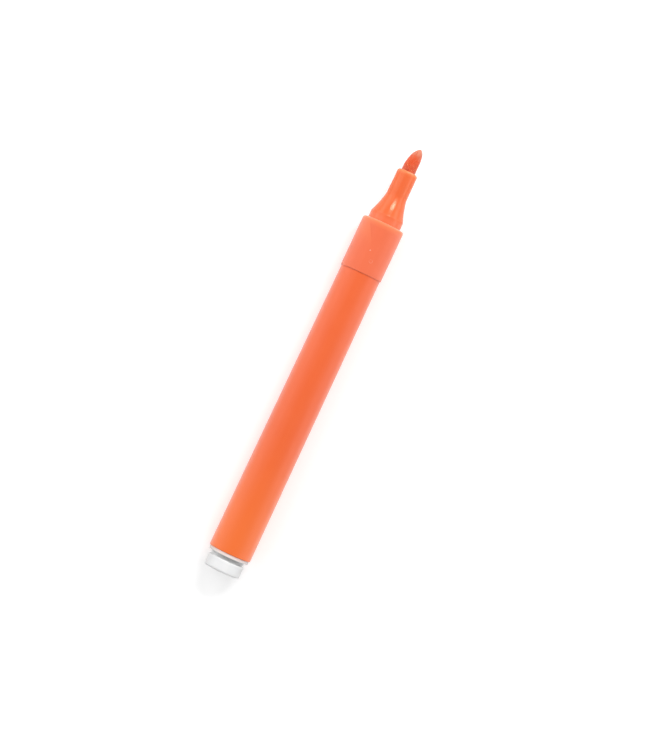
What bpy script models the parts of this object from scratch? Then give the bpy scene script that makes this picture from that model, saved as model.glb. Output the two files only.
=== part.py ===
"""Valve-action glitter marker with its cap off, lying on a table with the nib towards +X.

Free liquid ink and one steel mixing ball fill the barrel. Pressing the nib pushes a sprung valve stem off
its seat, which lets ink through to the nib. Every round piece is a turned profile of (radius, station)
points, where a station is the distance along the marker from the flat end of its tail plug.
"""

import math

import bmesh
import bpy

# Sizes are in metres.
# Barrel: a drafted tube, wider at the tail.
BARREL_LENGTH = 0.08945
BARREL_TAIL_RADIUS = 0.00649
BARREL_FRONT_RADIUS = 0.00615
BARREL_WALL = 0.0012
BARREL_TAIL_ROUND = 0.0004
BARREL_FRONT_CHAMFER = 0.00012

# Tail plug: a white head behind the barrel, and a hollow spigot with sealing ribs inside it.
TAIL_HEAD_LENGTH = 0.0058
TAIL_HEAD_INSET = 0.00094
TAIL_HEAD_ROUND = 0.00105
TAIL_LIP_INSET = 0.0003
TAIL_LIP_THICKNESS = 0.00065
TAIL_GROOVE_DEPTH = 0.0005
TAIL_GROOVE_WIDTH = 0.00115
TAIL_SPIGOT_LENGTH = 0.0080
TAIL_SPIGOT_WALL = 0.0012
TAIL_FLOOR = 0.0016
TAIL_RIB_COUNT = 2
TAIL_RIB_WIDTH = 0.0008

# Collar: the sleeve that joins the nose to the barrel, with a snap spigot inside the barrel.
COLLAR_LENGTH = 0.01595
COLLAR_STEP = 0.00026
COLLAR_FRONT_ROUND = 0.0005
COLLAR_REAR_CHAMFER = 0.00015
COLLAR_SPIGOT_LENGTH = 0.0095
COLLAR_SPIGOT_WALL = 0.00099
COLLAR_SHOULDER_WIDTH = 0.00064
COLLAR_RECESS_DEPTH = 0.0003
SNAP_BEAD_HEIGHT = 0.00025
SNAP_BEAD_WIDTH = 0.0014

# Nose cone: a seat for a cap, a flare and a tube that guides the nib.
NOSE_SEAT_LENGTH = 0.00175
NOSE_SEAT_STEP = 0.00066
NOSE_FLARE_LENGTH = 0.0079
NOSE_FLARE_SKEW = 0.75
NOSE_TUBE_LENGTH = 0.00695
NOSE_TUBE_WALL = 0.00086
NOSE_TUBE_DRAFT = 0.00006
NOSE_FRONT_ROUND = 0.0004
NOSE_SPIGOT_LENGTH = 0.0080

# Nib: a porous rod with a bullet point that leans a little to one side.
NIB_RADIUS = 0.0021
NIB_EXPOSED_LENGTH = 0.0074
NIB_BULLET_LENGTH = 0.0060
NIB_BULLET_POWER = 1.2
NIB_LEAN = 0.00065
NIB_LEAN_POWER = 1.5
NIB_TRAVEL = 0.0020

# Valve: a body clamped in the collar, a stem with a rubber seal, a spring and its retainer.
VALVE_FLANGE_THICKNESS = 0.0012
VALVE_WALL = 0.0024
VALVE_BOSS_HEIGHT = 0.0008
VALVE_BOSS_WALL = 0.0007
VALVE_CAGE_WALL = 0.0008
STEM_SHAFT_RADIUS = 0.0009
STEM_FLOW_GAP = 0.0004
STEM_CUP_DEPTH = 0.0020
STEM_CUP_WALL = 0.0006
STEM_CUP_FLOOR = 0.0008
STEM_CUP_FLOW_GAP = 0.0005
STEM_HEAD_THICKNESS = 0.0008
STEM_HEAD_FLOW_GAP = 0.0004
STEM_PILOT_LENGTH = 0.0022
SEAL_THICKNESS = 0.0008
SEAL_RIM = 0.0003
SPRING_LENGTH = 0.0070
SPRING_WIRE = 0.0004
SPRING_TURNS = 6
SPRING_PILOT_GAP = 0.0002
RETAINER_THICKNESS = 0.0014
RETAINER_PILOT_LENGTH = 0.0012
RETAINER_HOLE_RADIUS = 0.0008

# Mixing ball
BALL_RADIUS = 0.0025
BALL_END_GAP = 0.0003

# Clearances
PRESS_GAP = 0.0001
SLIDE_GAP = 0.00015
JOINT_GAP = 0.00015
RIB_GAP = 0.00004

# Mesh counts
TURN_STEPS = 32
ROUND_STEPS = 4
FLARE_STEPS = 10
BULLET_STEPS = 8
SPRING_POINTS_PER_TURN = 10
SPRING_BEVEL_RESOLUTION = 1
BALL_SEGMENTS = 24
BALL_RINGS = 12
MERGE_DISTANCE = 0.000001
SHARP_ANGLE = math.radians(32)

# Stations along the marker
BARREL_TAIL = TAIL_HEAD_LENGTH
BARREL_FRONT = BARREL_TAIL + BARREL_LENGTH
COLLAR_REAR = BARREL_FRONT + JOINT_GAP
COLLAR_FRONT = BARREL_FRONT + COLLAR_LENGTH
COLLAR_SPIGOT_REAR = BARREL_FRONT - COLLAR_SPIGOT_LENGTH
NOSE_SEAT_FRONT = COLLAR_FRONT + NOSE_SEAT_LENGTH
NOSE_FLARE_FRONT = NOSE_SEAT_FRONT + NOSE_FLARE_LENGTH
NOSE_FRONT = NOSE_FLARE_FRONT + NOSE_TUBE_LENGTH
NIB_TIP = NOSE_FRONT + NIB_EXPOSED_LENGTH
NOSE_SPIGOT_REAR = COLLAR_FRONT - NOSE_SPIGOT_LENGTH
VALVE_FLANGE_FRONT = NOSE_SPIGOT_REAR - JOINT_GAP
VALVE_FLANGE_REAR = VALVE_FLANGE_FRONT - VALVE_FLANGE_THICKNESS
VALVE_BOSS_FRONT = VALVE_FLANGE_FRONT + VALVE_BOSS_HEIGHT
VALVE_SEAT = VALVE_FLANGE_FRONT - VALVE_WALL
COLLAR_SHOULDER = VALVE_FLANGE_REAR - JOINT_GAP
STEM_CUP_REAR = VALVE_BOSS_FRONT + NIB_TRAVEL + JOINT_GAP
STEM_CUP_SEAT = STEM_CUP_REAR + STEM_CUP_FLOOR
STEM_CUP_FRONT = STEM_CUP_SEAT + STEM_CUP_DEPTH
NIB_REAR = STEM_CUP_SEAT + JOINT_GAP
SEAL_FRONT = VALVE_SEAT - JOINT_GAP
SEAL_REAR = SEAL_FRONT - SEAL_THICKNESS
STEM_HEAD_FRONT = SEAL_REAR - JOINT_GAP
STEM_HEAD_REAR = STEM_HEAD_FRONT - STEM_HEAD_THICKNESS
SPRING_FRONT = STEM_HEAD_REAR - JOINT_GAP
SPRING_REAR = SPRING_FRONT - SPRING_LENGTH
RETAINER_FRONT = SPRING_REAR - JOINT_GAP
RETAINER_REAR = RETAINER_FRONT - RETAINER_THICKNESS
TAIL_SPIGOT_FRONT = BARREL_TAIL + TAIL_SPIGOT_LENGTH
BALL_STATION = TAIL_SPIGOT_FRONT + BALL_END_GAP + BALL_RADIUS

# Radii that fit one piece to another
TAIL_HEAD_RADIUS = BARREL_TAIL_RADIUS - TAIL_HEAD_INSET
TAIL_LIP_RADIUS = BARREL_TAIL_RADIUS - TAIL_LIP_INSET
COLLAR_RADIUS = BARREL_FRONT_RADIUS + COLLAR_STEP
COLLAR_SPIGOT_RADIUS = BARREL_FRONT_RADIUS - BARREL_WALL - PRESS_GAP
VALVE_BAY_RADIUS = COLLAR_SPIGOT_RADIUS - COLLAR_SPIGOT_WALL
VALVE_CAGE_RADIUS = VALVE_BAY_RADIUS - PRESS_GAP
VALVE_CAGE_BORE = VALVE_CAGE_RADIUS - VALVE_CAGE_WALL
COLLAR_FRONT_BORE = VALVE_BAY_RADIUS + COLLAR_SHOULDER_WIDTH
NOSE_SPIGOT_RADIUS = COLLAR_FRONT_BORE - PRESS_GAP
NOSE_SEAT_RADIUS = NOSE_SPIGOT_RADIUS + NOSE_SEAT_STEP
NIB_BORE = NIB_RADIUS + SLIDE_GAP
NOSE_TUBE_FRONT_RADIUS = NIB_BORE + NOSE_TUBE_WALL
NOSE_TUBE_REAR_RADIUS = NOSE_TUBE_FRONT_RADIUS + NOSE_TUBE_DRAFT
STEM_CUP_BORE = NIB_RADIUS + PRESS_GAP
STEM_CUP_RADIUS = STEM_CUP_BORE + STEM_CUP_WALL
NOSE_CHAMBER_RADIUS = STEM_CUP_RADIUS + STEM_CUP_FLOW_GAP
SEAT_HOLE_RADIUS = STEM_SHAFT_RADIUS + STEM_FLOW_GAP
VALVE_BOSS_RADIUS = SEAT_HOLE_RADIUS + VALVE_BOSS_WALL
STEM_HEAD_RADIUS = VALVE_CAGE_BORE - STEM_HEAD_FLOW_GAP
SEAL_RADIUS = STEM_HEAD_RADIUS - SEAL_RIM
SPRING_MEAN_RADIUS = STEM_HEAD_RADIUS - SPRING_WIRE
SPRING_PILOT_RADIUS = SPRING_MEAN_RADIUS - SPRING_WIRE / 2 - SPRING_PILOT_GAP

# The widest piece lies on the table along one of its flats.
FLAT_SHARE = math.cos(math.pi / TURN_STEPS)
AXIS_HEIGHT = FLAT_SHARE * max(BARREL_TAIL_RADIUS, BARREL_FRONT_RADIUS, COLLAR_RADIUS, NOSE_SEAT_RADIUS)


def barrel_radius(station):
    """Outer radius of the drafted barrel at a station."""
    share = (station - BARREL_TAIL) / BARREL_LENGTH
    return BARREL_TAIL_RADIUS + (BARREL_FRONT_RADIUS - BARREL_TAIL_RADIUS) * share


def barrel_bore(station):
    """Bore radius of the barrel at a station."""
    return barrel_radius(station) - BARREL_WALL


def arc(radius_centre, station_centre, size, start, end, steps=ROUND_STEPS):
    """Points on an arc, from one angle to another in degrees: 0 points outwards and 90 to the nib."""
    points = []
    for step in range(steps + 1):
        angle = math.radians(start + (end - start) * step / steps)
        points.append((radius_centre + size * math.cos(angle), station_centre + size * math.sin(angle)))
    return points


def clear_scene():
    """Removes every object of the startup scene."""
    for obj in list(bpy.data.objects):
        bpy.data.objects.remove(obj, do_unlink=True)


def make_material(name, colour, roughness, metallic=0.0):
    """A Principled BSDF material with one colour."""
    material = bpy.data.materials.new(name)
    material.use_nodes = True
    shader = material.node_tree.nodes["Principled BSDF"]
    shader.inputs["Base Color"].default_value = (*colour, 1.0)
    shader.inputs["Roughness"].default_value = roughness
    shader.inputs["Metallic"].default_value = metallic
    return material


class Bench:
    """The collection that holds the pieces, and the axis that they all sit on."""

    def __init__(self):
        self.collection = bpy.data.collections.new("glitter_marker")
        bpy.context.scene.collection.children.link(self.collection)
        self.axis = bpy.data.objects.new("marker_axis", None)
        self.axis.location = (-NIB_TIP / 2, 0.0, AXIS_HEIGHT)
        self.axis.rotation_euler = (0.0, math.pi / 2, 0.0)
        self.collection.objects.link(self.axis)

    def place(self, name, data, material, location):
        """Adds an object on the axis: its own Z runs towards the nib and its own X points down."""
        obj = bpy.data.objects.new(name, data)
        obj.parent = self.axis
        obj.location = location
        obj.data.materials.append(material)
        self.collection.objects.link(obj)
        return obj

    def turn(self, name, profile, datum, material, hollow=True):
        """Turns a profile about the axis, with the piece's origin at the station named datum.

        A hollow profile is a closed loop. A solid one starts and ends on the axis.
        """
        flat = math.pi / TURN_STEPS
        points = [(r * math.cos(flat), r * math.sin(flat), station - datum) for r, station in profile]
        edges = [(i, i + 1) for i in range(len(points) - 1)]
        if hollow:
            edges.append((len(points) - 1, 0))
        outline = bpy.data.meshes.new(name)
        outline.from_pydata(points, edges, [])
        obj = self.place(name, outline, material, (0.0, 0.0, datum))
        screw = obj.modifiers.new("Turn", "SCREW")
        screw.axis = "Z"
        screw.steps = TURN_STEPS
        screw.render_steps = TURN_STEPS
        screw.use_merge_vertices = True
        screw.merge_threshold = MERGE_DISTANCE
        bpy.context.view_layer.update()
        evaluated = obj.evaluated_get(bpy.context.evaluated_depsgraph_get())
        obj.data = bpy.data.meshes.new_from_object(evaluated)
        obj.modifiers.clear()
        obj.data.name = name
        obj.data.shade_smooth()
        obj.data.set_sharp_from_angle(angle=SHARP_ANGLE)
        bpy.data.meshes.remove(outline)
        return obj


def make_barrel(bench, material):
    """Ink tank: a drafted tube with a groove near its front for the collar's snap bead."""
    tail_round = arc(
        barrel_radius(BARREL_TAIL) - BARREL_TAIL_ROUND,
        BARREL_TAIL + BARREL_TAIL_ROUND,
        BARREL_TAIL_ROUND,
        0,
        -90,
    )
    bead = BARREL_FRONT - COLLAR_SPIGOT_LENGTH / 2
    groove_radius = COLLAR_SPIGOT_RADIUS + SNAP_BEAD_HEIGHT + PRESS_GAP
    groove_half = SNAP_BEAD_WIDTH / 2 + JOINT_GAP
    profile = [
        (barrel_bore(BARREL_FRONT), BARREL_FRONT),
        (barrel_radius(BARREL_FRONT) - BARREL_FRONT_CHAMFER, BARREL_FRONT),
        (barrel_radius(BARREL_FRONT), BARREL_FRONT - BARREL_FRONT_CHAMFER),
        *tail_round,
        (barrel_bore(BARREL_TAIL), BARREL_TAIL),
        (barrel_bore(bead - 2 * groove_half), bead - 2 * groove_half),
        (groove_radius, bead - groove_half),
        (groove_radius, bead + groove_half),
        (barrel_bore(bead + 2 * groove_half), bead + 2 * groove_half),
    ]
    bench.turn("barrel", profile, BARREL_TAIL, material)


def tail_ribs():
    """Sealing ribs round the tail plug's spigot, from front to rear."""
    points = []
    pitch = TAIL_SPIGOT_LENGTH / (TAIL_RIB_COUNT + 1)
    for index in range(TAIL_RIB_COUNT):
        middle = TAIL_SPIGOT_FRONT - pitch * (index + 1)
        for offset, gap in ((1.0, PRESS_GAP), (0.5, RIB_GAP), (-0.5, RIB_GAP), (-1.0, PRESS_GAP)):
            station = middle + offset * TAIL_RIB_WIDTH / 2
            points.append((barrel_bore(station) - gap, station))
    return points


def make_tail_plug(bench, material):
    """White plug that closes the tank. Its head shows behind the barrel, and its spigot is hollow."""
    lip_front = BARREL_TAIL - JOINT_GAP
    lip_rear = lip_front - TAIL_LIP_THICKNESS
    groove_rear = lip_rear - TAIL_GROOVE_WIDTH
    groove_radius = TAIL_HEAD_RADIUS - TAIL_GROOVE_DEPTH
    spigot_bore = barrel_bore(TAIL_SPIGOT_FRONT) - PRESS_GAP - TAIL_SPIGOT_WALL
    end_round = arc(TAIL_HEAD_RADIUS - TAIL_HEAD_ROUND, TAIL_HEAD_ROUND, TAIL_HEAD_ROUND, 0, -90)
    profile = [
        (0.0, TAIL_FLOOR),
        (spigot_bore, TAIL_FLOOR),
        (spigot_bore, TAIL_SPIGOT_FRONT),
        (barrel_bore(TAIL_SPIGOT_FRONT) - PRESS_GAP, TAIL_SPIGOT_FRONT),
        *tail_ribs(),
        (barrel_bore(lip_front) - PRESS_GAP, lip_front),
        (TAIL_LIP_RADIUS, lip_front),
        (TAIL_LIP_RADIUS, lip_rear),
        (groove_radius, lip_rear),
        (groove_radius, groove_rear),
        (TAIL_HEAD_RADIUS, groove_rear),
        *end_round,
        (0.0, 0.0),
    ]
    bench.turn("tail_plug", profile, BARREL_TAIL, material, hollow=False)


def make_collar(bench, material):
    """Sleeve between nose and barrel: a recess for the nose in front, a snap spigot behind."""
    bead = BARREL_FRONT - COLLAR_SPIGOT_LENGTH / 2
    bead_radius = COLLAR_SPIGOT_RADIUS + SNAP_BEAD_HEIGHT
    bead_half = SNAP_BEAD_WIDTH / 2
    recess_radius = NOSE_SEAT_RADIUS + PRESS_GAP
    recess_floor = COLLAR_FRONT - COLLAR_RECESS_DEPTH
    front_round = arc(
        COLLAR_RADIUS - COLLAR_FRONT_ROUND, COLLAR_FRONT - COLLAR_FRONT_ROUND, COLLAR_FRONT_ROUND, 90, 0
    )
    profile = [
        (COLLAR_FRONT_BORE, recess_floor),
        (recess_radius, recess_floor),
        (recess_radius, COLLAR_FRONT),
        *front_round,
        (COLLAR_RADIUS, COLLAR_REAR + COLLAR_REAR_CHAMFER),
        (COLLAR_RADIUS - COLLAR_REAR_CHAMFER, COLLAR_REAR),
        (COLLAR_SPIGOT_RADIUS, COLLAR_REAR),
        (COLLAR_SPIGOT_RADIUS, bead + 2 * bead_half),
        (bead_radius, bead + bead_half),
        (bead_radius, bead - bead_half),
        (COLLAR_SPIGOT_RADIUS, bead - 2 * bead_half),
        (COLLAR_SPIGOT_RADIUS, COLLAR_SPIGOT_REAR),
        (VALVE_BAY_RADIUS, COLLAR_SPIGOT_REAR),
        (VALVE_BAY_RADIUS, COLLAR_SHOULDER),
        (COLLAR_FRONT_BORE, COLLAR_SHOULDER),
    ]
    bench.turn("collar", profile, COLLAR_REAR, material)


def flare_radius(share):
    """Radius of the nose's flare, from the cap seat at share 0 to the nib tube at share 1."""
    eased = share**NOSE_FLARE_SKEW
    eased = eased * eased * (3 - 2 * eased)
    return NOSE_SEAT_RADIUS + (NOSE_TUBE_REAR_RADIUS - NOSE_SEAT_RADIUS) * eased


def make_nose_cone(bench, material):
    """Nib holder: its seat flange sits in the collar's recess, and its spigot clamps the valve body."""
    seat_rear = COLLAR_FRONT - COLLAR_RECESS_DEPTH + JOINT_GAP
    front_round = arc(
        NOSE_TUBE_FRONT_RADIUS - NOSE_FRONT_ROUND, NOSE_FRONT - NOSE_FRONT_ROUND, NOSE_FRONT_ROUND, 90, 0
    )
    flare = []
    for step in range(FLARE_STEPS, -1, -1):
        share = step / FLARE_STEPS
        flare.append((flare_radius(share), NOSE_SEAT_FRONT + NOSE_FLARE_LENGTH * share))
    profile = [
        (NIB_BORE, NOSE_FRONT),
        *front_round,
        *flare,
        (NOSE_SEAT_RADIUS, seat_rear),
        (NOSE_SPIGOT_RADIUS, seat_rear),
        (NOSE_SPIGOT_RADIUS, NOSE_SPIGOT_REAR),
        (NOSE_CHAMBER_RADIUS, NOSE_SPIGOT_REAR),
        (NOSE_CHAMBER_RADIUS, NOSE_SEAT_FRONT),
        (NIB_BORE, NOSE_FLARE_FRONT),
    ]
    bench.turn("nose_cone", profile, COLLAR_FRONT, material)


def make_nib(bench, material):
    """Fibre nib: a straight shank and a pointed bullet that leans sideways towards its end."""
    bullet_start = NIB_TIP - NIB_BULLET_LENGTH
    profile = []
    for step in range(BULLET_STEPS + 1):
        angle = math.pi / 2 * step / BULLET_STEPS
        radius = NIB_RADIUS * math.sin(angle) ** NIB_BULLET_POWER
        profile.append((radius, bullet_start + NIB_BULLET_LENGTH * math.cos(angle)))
    profile[0] = (0.0, NIB_TIP)
    profile += [(NIB_RADIUS, NIB_REAR), (0.0, NIB_REAR)]
    nib = bench.turn("nib", profile, NIB_REAR, material, hollow=False)
    for vertex in nib.data.vertices:
        share = (vertex.co.z + NIB_REAR - bullet_start) / NIB_BULLET_LENGTH
        vertex.co.y -= NIB_LEAN * max(0.0, share) ** NIB_LEAN_POWER


def make_valve_body(bench, material):
    """Valve housing: a flange clamped in the collar, a seat with a hole, and a cage for the spring."""
    flange_radius = COLLAR_FRONT_BORE - PRESS_GAP
    profile = [
        (SEAT_HOLE_RADIUS, VALVE_BOSS_FRONT),
        (VALVE_BOSS_RADIUS, VALVE_BOSS_FRONT),
        (VALVE_BOSS_RADIUS, VALVE_FLANGE_FRONT),
        (flange_radius, VALVE_FLANGE_FRONT),
        (flange_radius, VALVE_FLANGE_REAR),
        (VALVE_CAGE_RADIUS, VALVE_FLANGE_REAR),
        (VALVE_CAGE_RADIUS, RETAINER_REAR),
        (VALVE_CAGE_BORE, RETAINER_REAR),
        (VALVE_CAGE_BORE, VALVE_SEAT),
        (SEAT_HOLE_RADIUS, VALVE_SEAT),
    ]
    bench.turn("valve_body", profile, VALVE_SEAT, material)


def make_valve_stem(bench, material):
    """Plunger: a cup that holds the nib, a shaft through the seat, a head and a pilot for the spring."""
    pilot_rear = STEM_HEAD_REAR - STEM_PILOT_LENGTH
    profile = [
        (0.0, STEM_CUP_SEAT),
        (STEM_CUP_BORE, STEM_CUP_SEAT),
        (STEM_CUP_BORE, STEM_CUP_FRONT),
        (STEM_CUP_RADIUS, STEM_CUP_FRONT),
        (STEM_CUP_RADIUS, STEM_CUP_REAR),
        (STEM_SHAFT_RADIUS, STEM_CUP_REAR),
        (STEM_SHAFT_RADIUS, STEM_HEAD_FRONT),
        (STEM_HEAD_RADIUS, STEM_HEAD_FRONT),
        (STEM_HEAD_RADIUS, STEM_HEAD_REAR),
        (SPRING_PILOT_RADIUS, STEM_HEAD_REAR),
        (SPRING_PILOT_RADIUS, pilot_rear),
        (0.0, pilot_rear),
    ]
    bench.turn("valve_stem", profile, STEM_CUP_REAR, material, hollow=False)


def make_valve_seal(bench, material):
    """Rubber washer on the stem, which closes the hole in the seat."""
    bore = STEM_SHAFT_RADIUS + PRESS_GAP
    profile = [
        (bore, SEAL_FRONT),
        (SEAL_RADIUS, SEAL_FRONT),
        (SEAL_RADIUS, SEAL_REAR),
        (bore, SEAL_REAR),
    ]
    bench.turn("valve_seal", profile, SEAL_REAR, material)


def spring_points():
    """Centre line of the spring's wire, from its rear end to its front end."""
    count = SPRING_TURNS * SPRING_POINTS_PER_TURN
    rise = SPRING_LENGTH - SPRING_WIRE
    points = []
    for index in range(count + 1):
        angle = 2 * math.pi * index / SPRING_POINTS_PER_TURN
        along = SPRING_WIRE / 2 + rise * index / count
        points.append((SPRING_MEAN_RADIUS * math.cos(angle), SPRING_MEAN_RADIUS * math.sin(angle), along))
    return points


def least_gap(points):
    """Smallest gap between turns of the spring, measured on its points."""
    apart = SPRING_POINTS_PER_TURN * 3 // 4
    gaps = []
    for first in range(len(points)):
        for second in range(first + apart, len(points)):
            gaps.append(math.dist(points[first], points[second]) - SPRING_WIRE)
    return min(gaps)


def make_valve_spring(bench, material):
    """Compression spring: one unbroken wire between the stem's head and the retainer."""
    points = spring_points()
    curve = bpy.data.curves.new("valve_spring", "CURVE")
    curve.dimensions = "3D"
    curve.bevel_depth = SPRING_WIRE / 2
    curve.bevel_resolution = SPRING_BEVEL_RESOLUTION
    curve.use_fill_caps = True
    spline = curve.splines.new("POLY")
    spline.points.add(len(points) - 1)
    for target, point in zip(spline.points, points):
        target.co = (*point, 1.0)
    bench.place("valve_spring", curve, material, (0.0, 0.0, SPRING_REAR))
    print(f"valve_spring: least gap between turns {least_gap(points) * 1000:.2f} mm")


def make_spring_retainer(bench, material):
    """Ring that closes the cage behind the spring, with a hole for ink and a pilot inside the spring."""
    rim_radius = VALVE_CAGE_BORE - PRESS_GAP
    pilot_front = RETAINER_FRONT + RETAINER_PILOT_LENGTH
    profile = [
        (RETAINER_HOLE_RADIUS, pilot_front),
        (SPRING_PILOT_RADIUS, pilot_front),
        (SPRING_PILOT_RADIUS, RETAINER_FRONT),
        (rim_radius, RETAINER_FRONT),
        (rim_radius, RETAINER_REAR),
        (RETAINER_HOLE_RADIUS, RETAINER_REAR),
    ]
    bench.turn("spring_retainer", profile, RETAINER_REAR, material)


def make_mixing_ball(bench, material):
    """Steel ball that stirs the glitter, at rest on the bottom of the bore by the tail plug."""
    drop = barrel_bore(BALL_STATION) * FLAT_SHARE - PRESS_GAP - BALL_RADIUS
    mesh = bpy.data.meshes.new("mixing_ball")
    ball = bmesh.new()
    bmesh.ops.create_uvsphere(ball, u_segments=BALL_SEGMENTS, v_segments=BALL_RINGS, radius=BALL_RADIUS)
    ball.to_mesh(mesh)
    ball.free()
    mesh.shade_smooth()
    bench.place("mixing_ball", mesh, material, (drop, 0.0, BALL_STATION))


def main():
    clear_scene()
    bench = Bench()
    barrel_orange = make_material("barrel_orange", (0.87, 0.17, 0.05), 0.38)
    collar_orange = make_material("collar_orange", (0.88, 0.19, 0.08), 0.55)
    nose_orange = make_material("nose_orange", (0.87, 0.18, 0.06), 0.2)
    nib_fibre = make_material("nib_fibre", (0.76, 0.11, 0.04), 0.85)
    white_plastic = make_material("white_plastic", (0.86, 0.87, 0.87), 0.35)
    valve_plastic = make_material("valve_plastic", (0.8, 0.8, 0.78), 0.45)
    seal_rubber = make_material("seal_rubber", (0.03, 0.03, 0.03), 0.7)
    steel = make_material("steel", (0.62, 0.62, 0.63), 0.2, metallic=1.0)
    make_barrel(bench, barrel_orange)
    make_tail_plug(bench, white_plastic)
    make_collar(bench, collar_orange)
    make_nose_cone(bench, nose_orange)
    make_nib(bench, nib_fibre)
    make_valve_body(bench, valve_plastic)
    make_valve_stem(bench, valve_plastic)
    make_valve_seal(bench, seal_rubber)
    make_valve_spring(bench, steel)
    make_spring_retainer(bench, valve_plastic)
    make_mixing_ball(bench, steel)


main()
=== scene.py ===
"""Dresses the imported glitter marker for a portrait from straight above.

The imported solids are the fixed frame. One Geometry Nodes tree turns each round piece again, finer and
with its edges rounded. Other trees wind the spring and strew fibres and glitter over the nib. A white
table, soft lamps and a camera finish the scene. Sizes are in metres, and patterns in millimetres.
"""

import logging
import math
from abc import ABC, abstractmethod
from collections.abc import Mapping, Sequence
from dataclasses import dataclass
from enum import Enum
from functools import cached_property
from typing import Any, Union

import bmesh
import bpy
from mathutils import Matrix, Quaternion, Vector, noise


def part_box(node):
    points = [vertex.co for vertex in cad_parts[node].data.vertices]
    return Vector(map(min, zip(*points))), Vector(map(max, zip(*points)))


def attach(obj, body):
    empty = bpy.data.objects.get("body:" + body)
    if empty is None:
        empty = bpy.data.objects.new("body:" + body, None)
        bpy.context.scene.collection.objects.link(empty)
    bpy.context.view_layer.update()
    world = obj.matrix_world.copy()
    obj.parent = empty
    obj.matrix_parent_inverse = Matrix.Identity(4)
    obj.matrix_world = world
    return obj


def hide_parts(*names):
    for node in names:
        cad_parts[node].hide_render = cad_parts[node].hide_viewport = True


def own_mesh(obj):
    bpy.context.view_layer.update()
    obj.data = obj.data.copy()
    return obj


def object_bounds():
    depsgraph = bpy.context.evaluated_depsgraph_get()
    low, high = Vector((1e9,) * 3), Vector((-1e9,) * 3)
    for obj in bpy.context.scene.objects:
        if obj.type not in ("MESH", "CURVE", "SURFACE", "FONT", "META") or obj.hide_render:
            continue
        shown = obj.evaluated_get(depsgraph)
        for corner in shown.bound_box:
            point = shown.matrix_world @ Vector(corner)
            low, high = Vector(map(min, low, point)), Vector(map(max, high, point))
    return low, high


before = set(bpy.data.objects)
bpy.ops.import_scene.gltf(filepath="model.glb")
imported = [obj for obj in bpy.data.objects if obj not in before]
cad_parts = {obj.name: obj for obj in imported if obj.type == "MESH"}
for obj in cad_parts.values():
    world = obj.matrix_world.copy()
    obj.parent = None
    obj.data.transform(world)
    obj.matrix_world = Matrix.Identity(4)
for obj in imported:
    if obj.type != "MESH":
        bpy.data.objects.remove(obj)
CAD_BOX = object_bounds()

LOG = logging.getLogger("glitter_marker")
AXIS_Z = (CAD_BOX[0].z + CAD_BOX[1].z) / 2
MILLIMETRES = 1000.0
X_AXIS = (1.0, 0.0, 0.0)
WHITE = (1.0, 1.0, 1.0)
SEEN_RAYS = ("Camera", "Glossy", "Transmission")

# How profiles are rounded, divided and turned.
ROUND_STEPS = 6
LONGEST_CUT = 0.85
FLAT_CORNER = math.radians(89)
LONG_RUN = 0.0008
RUN_STEP = 0.0025
SUPPORT = 0.00005
TURN_SEGMENTS = 128
MERGE_DISTANCE = 0.0000005
SHARP_ANGLE = math.radians(34)

Colour = tuple[float, float, float]
Triple = tuple[float, float, float]
Span = tuple[float, float]
Corner = tuple[float, float, float]
Point = tuple[float, float]
Number = Union["Value", float]
Settings = Mapping[str, Any] | None
Inputs = Mapping[str | int, Any] | None
Node = bpy.types.Node
Socket = bpy.types.NodeSocket
Piece = bpy.types.Object


class Body(Enum):
    """Bodies of the frame that the pieces ride on."""

    MARKER = "marker_body"
    NIB = "nib"
    PLUNGER = "valve_plunger"
    BALL = "mixing_ball"


class Slot(Enum):
    """Material slots of the record."""

    BARREL = "barrel_orange"
    PLUG = "white_plastic"
    COLLAR = "collar_orange"
    NOSE = "nose_orange"
    NIB = "nib_fibre"
    VALVE = "valve_plastic"
    SEAL = "seal_rubber"
    SPRING = "spring_steel"
    BALL = "ball_steel"


class Edge(float, Enum):
    """Roundings that a mould gives to edges."""

    SHARP = 0.0
    CRISP = 0.00005
    FINE = 0.0001
    EASED = 0.00015
    SOFT = 0.0002
    FULL = 0.0003
    ROUND = 0.0004


class Detail(float, Enum):
    """Octaves of a noise."""

    PLAIN = 1.0
    SOFT = 2.0
    FINE = 3.0


class Lie(Enum):
    """How strewn bits lie on the nib."""

    ALONG = "along its fibres"
    FLAT = "flat on its surface"


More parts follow.
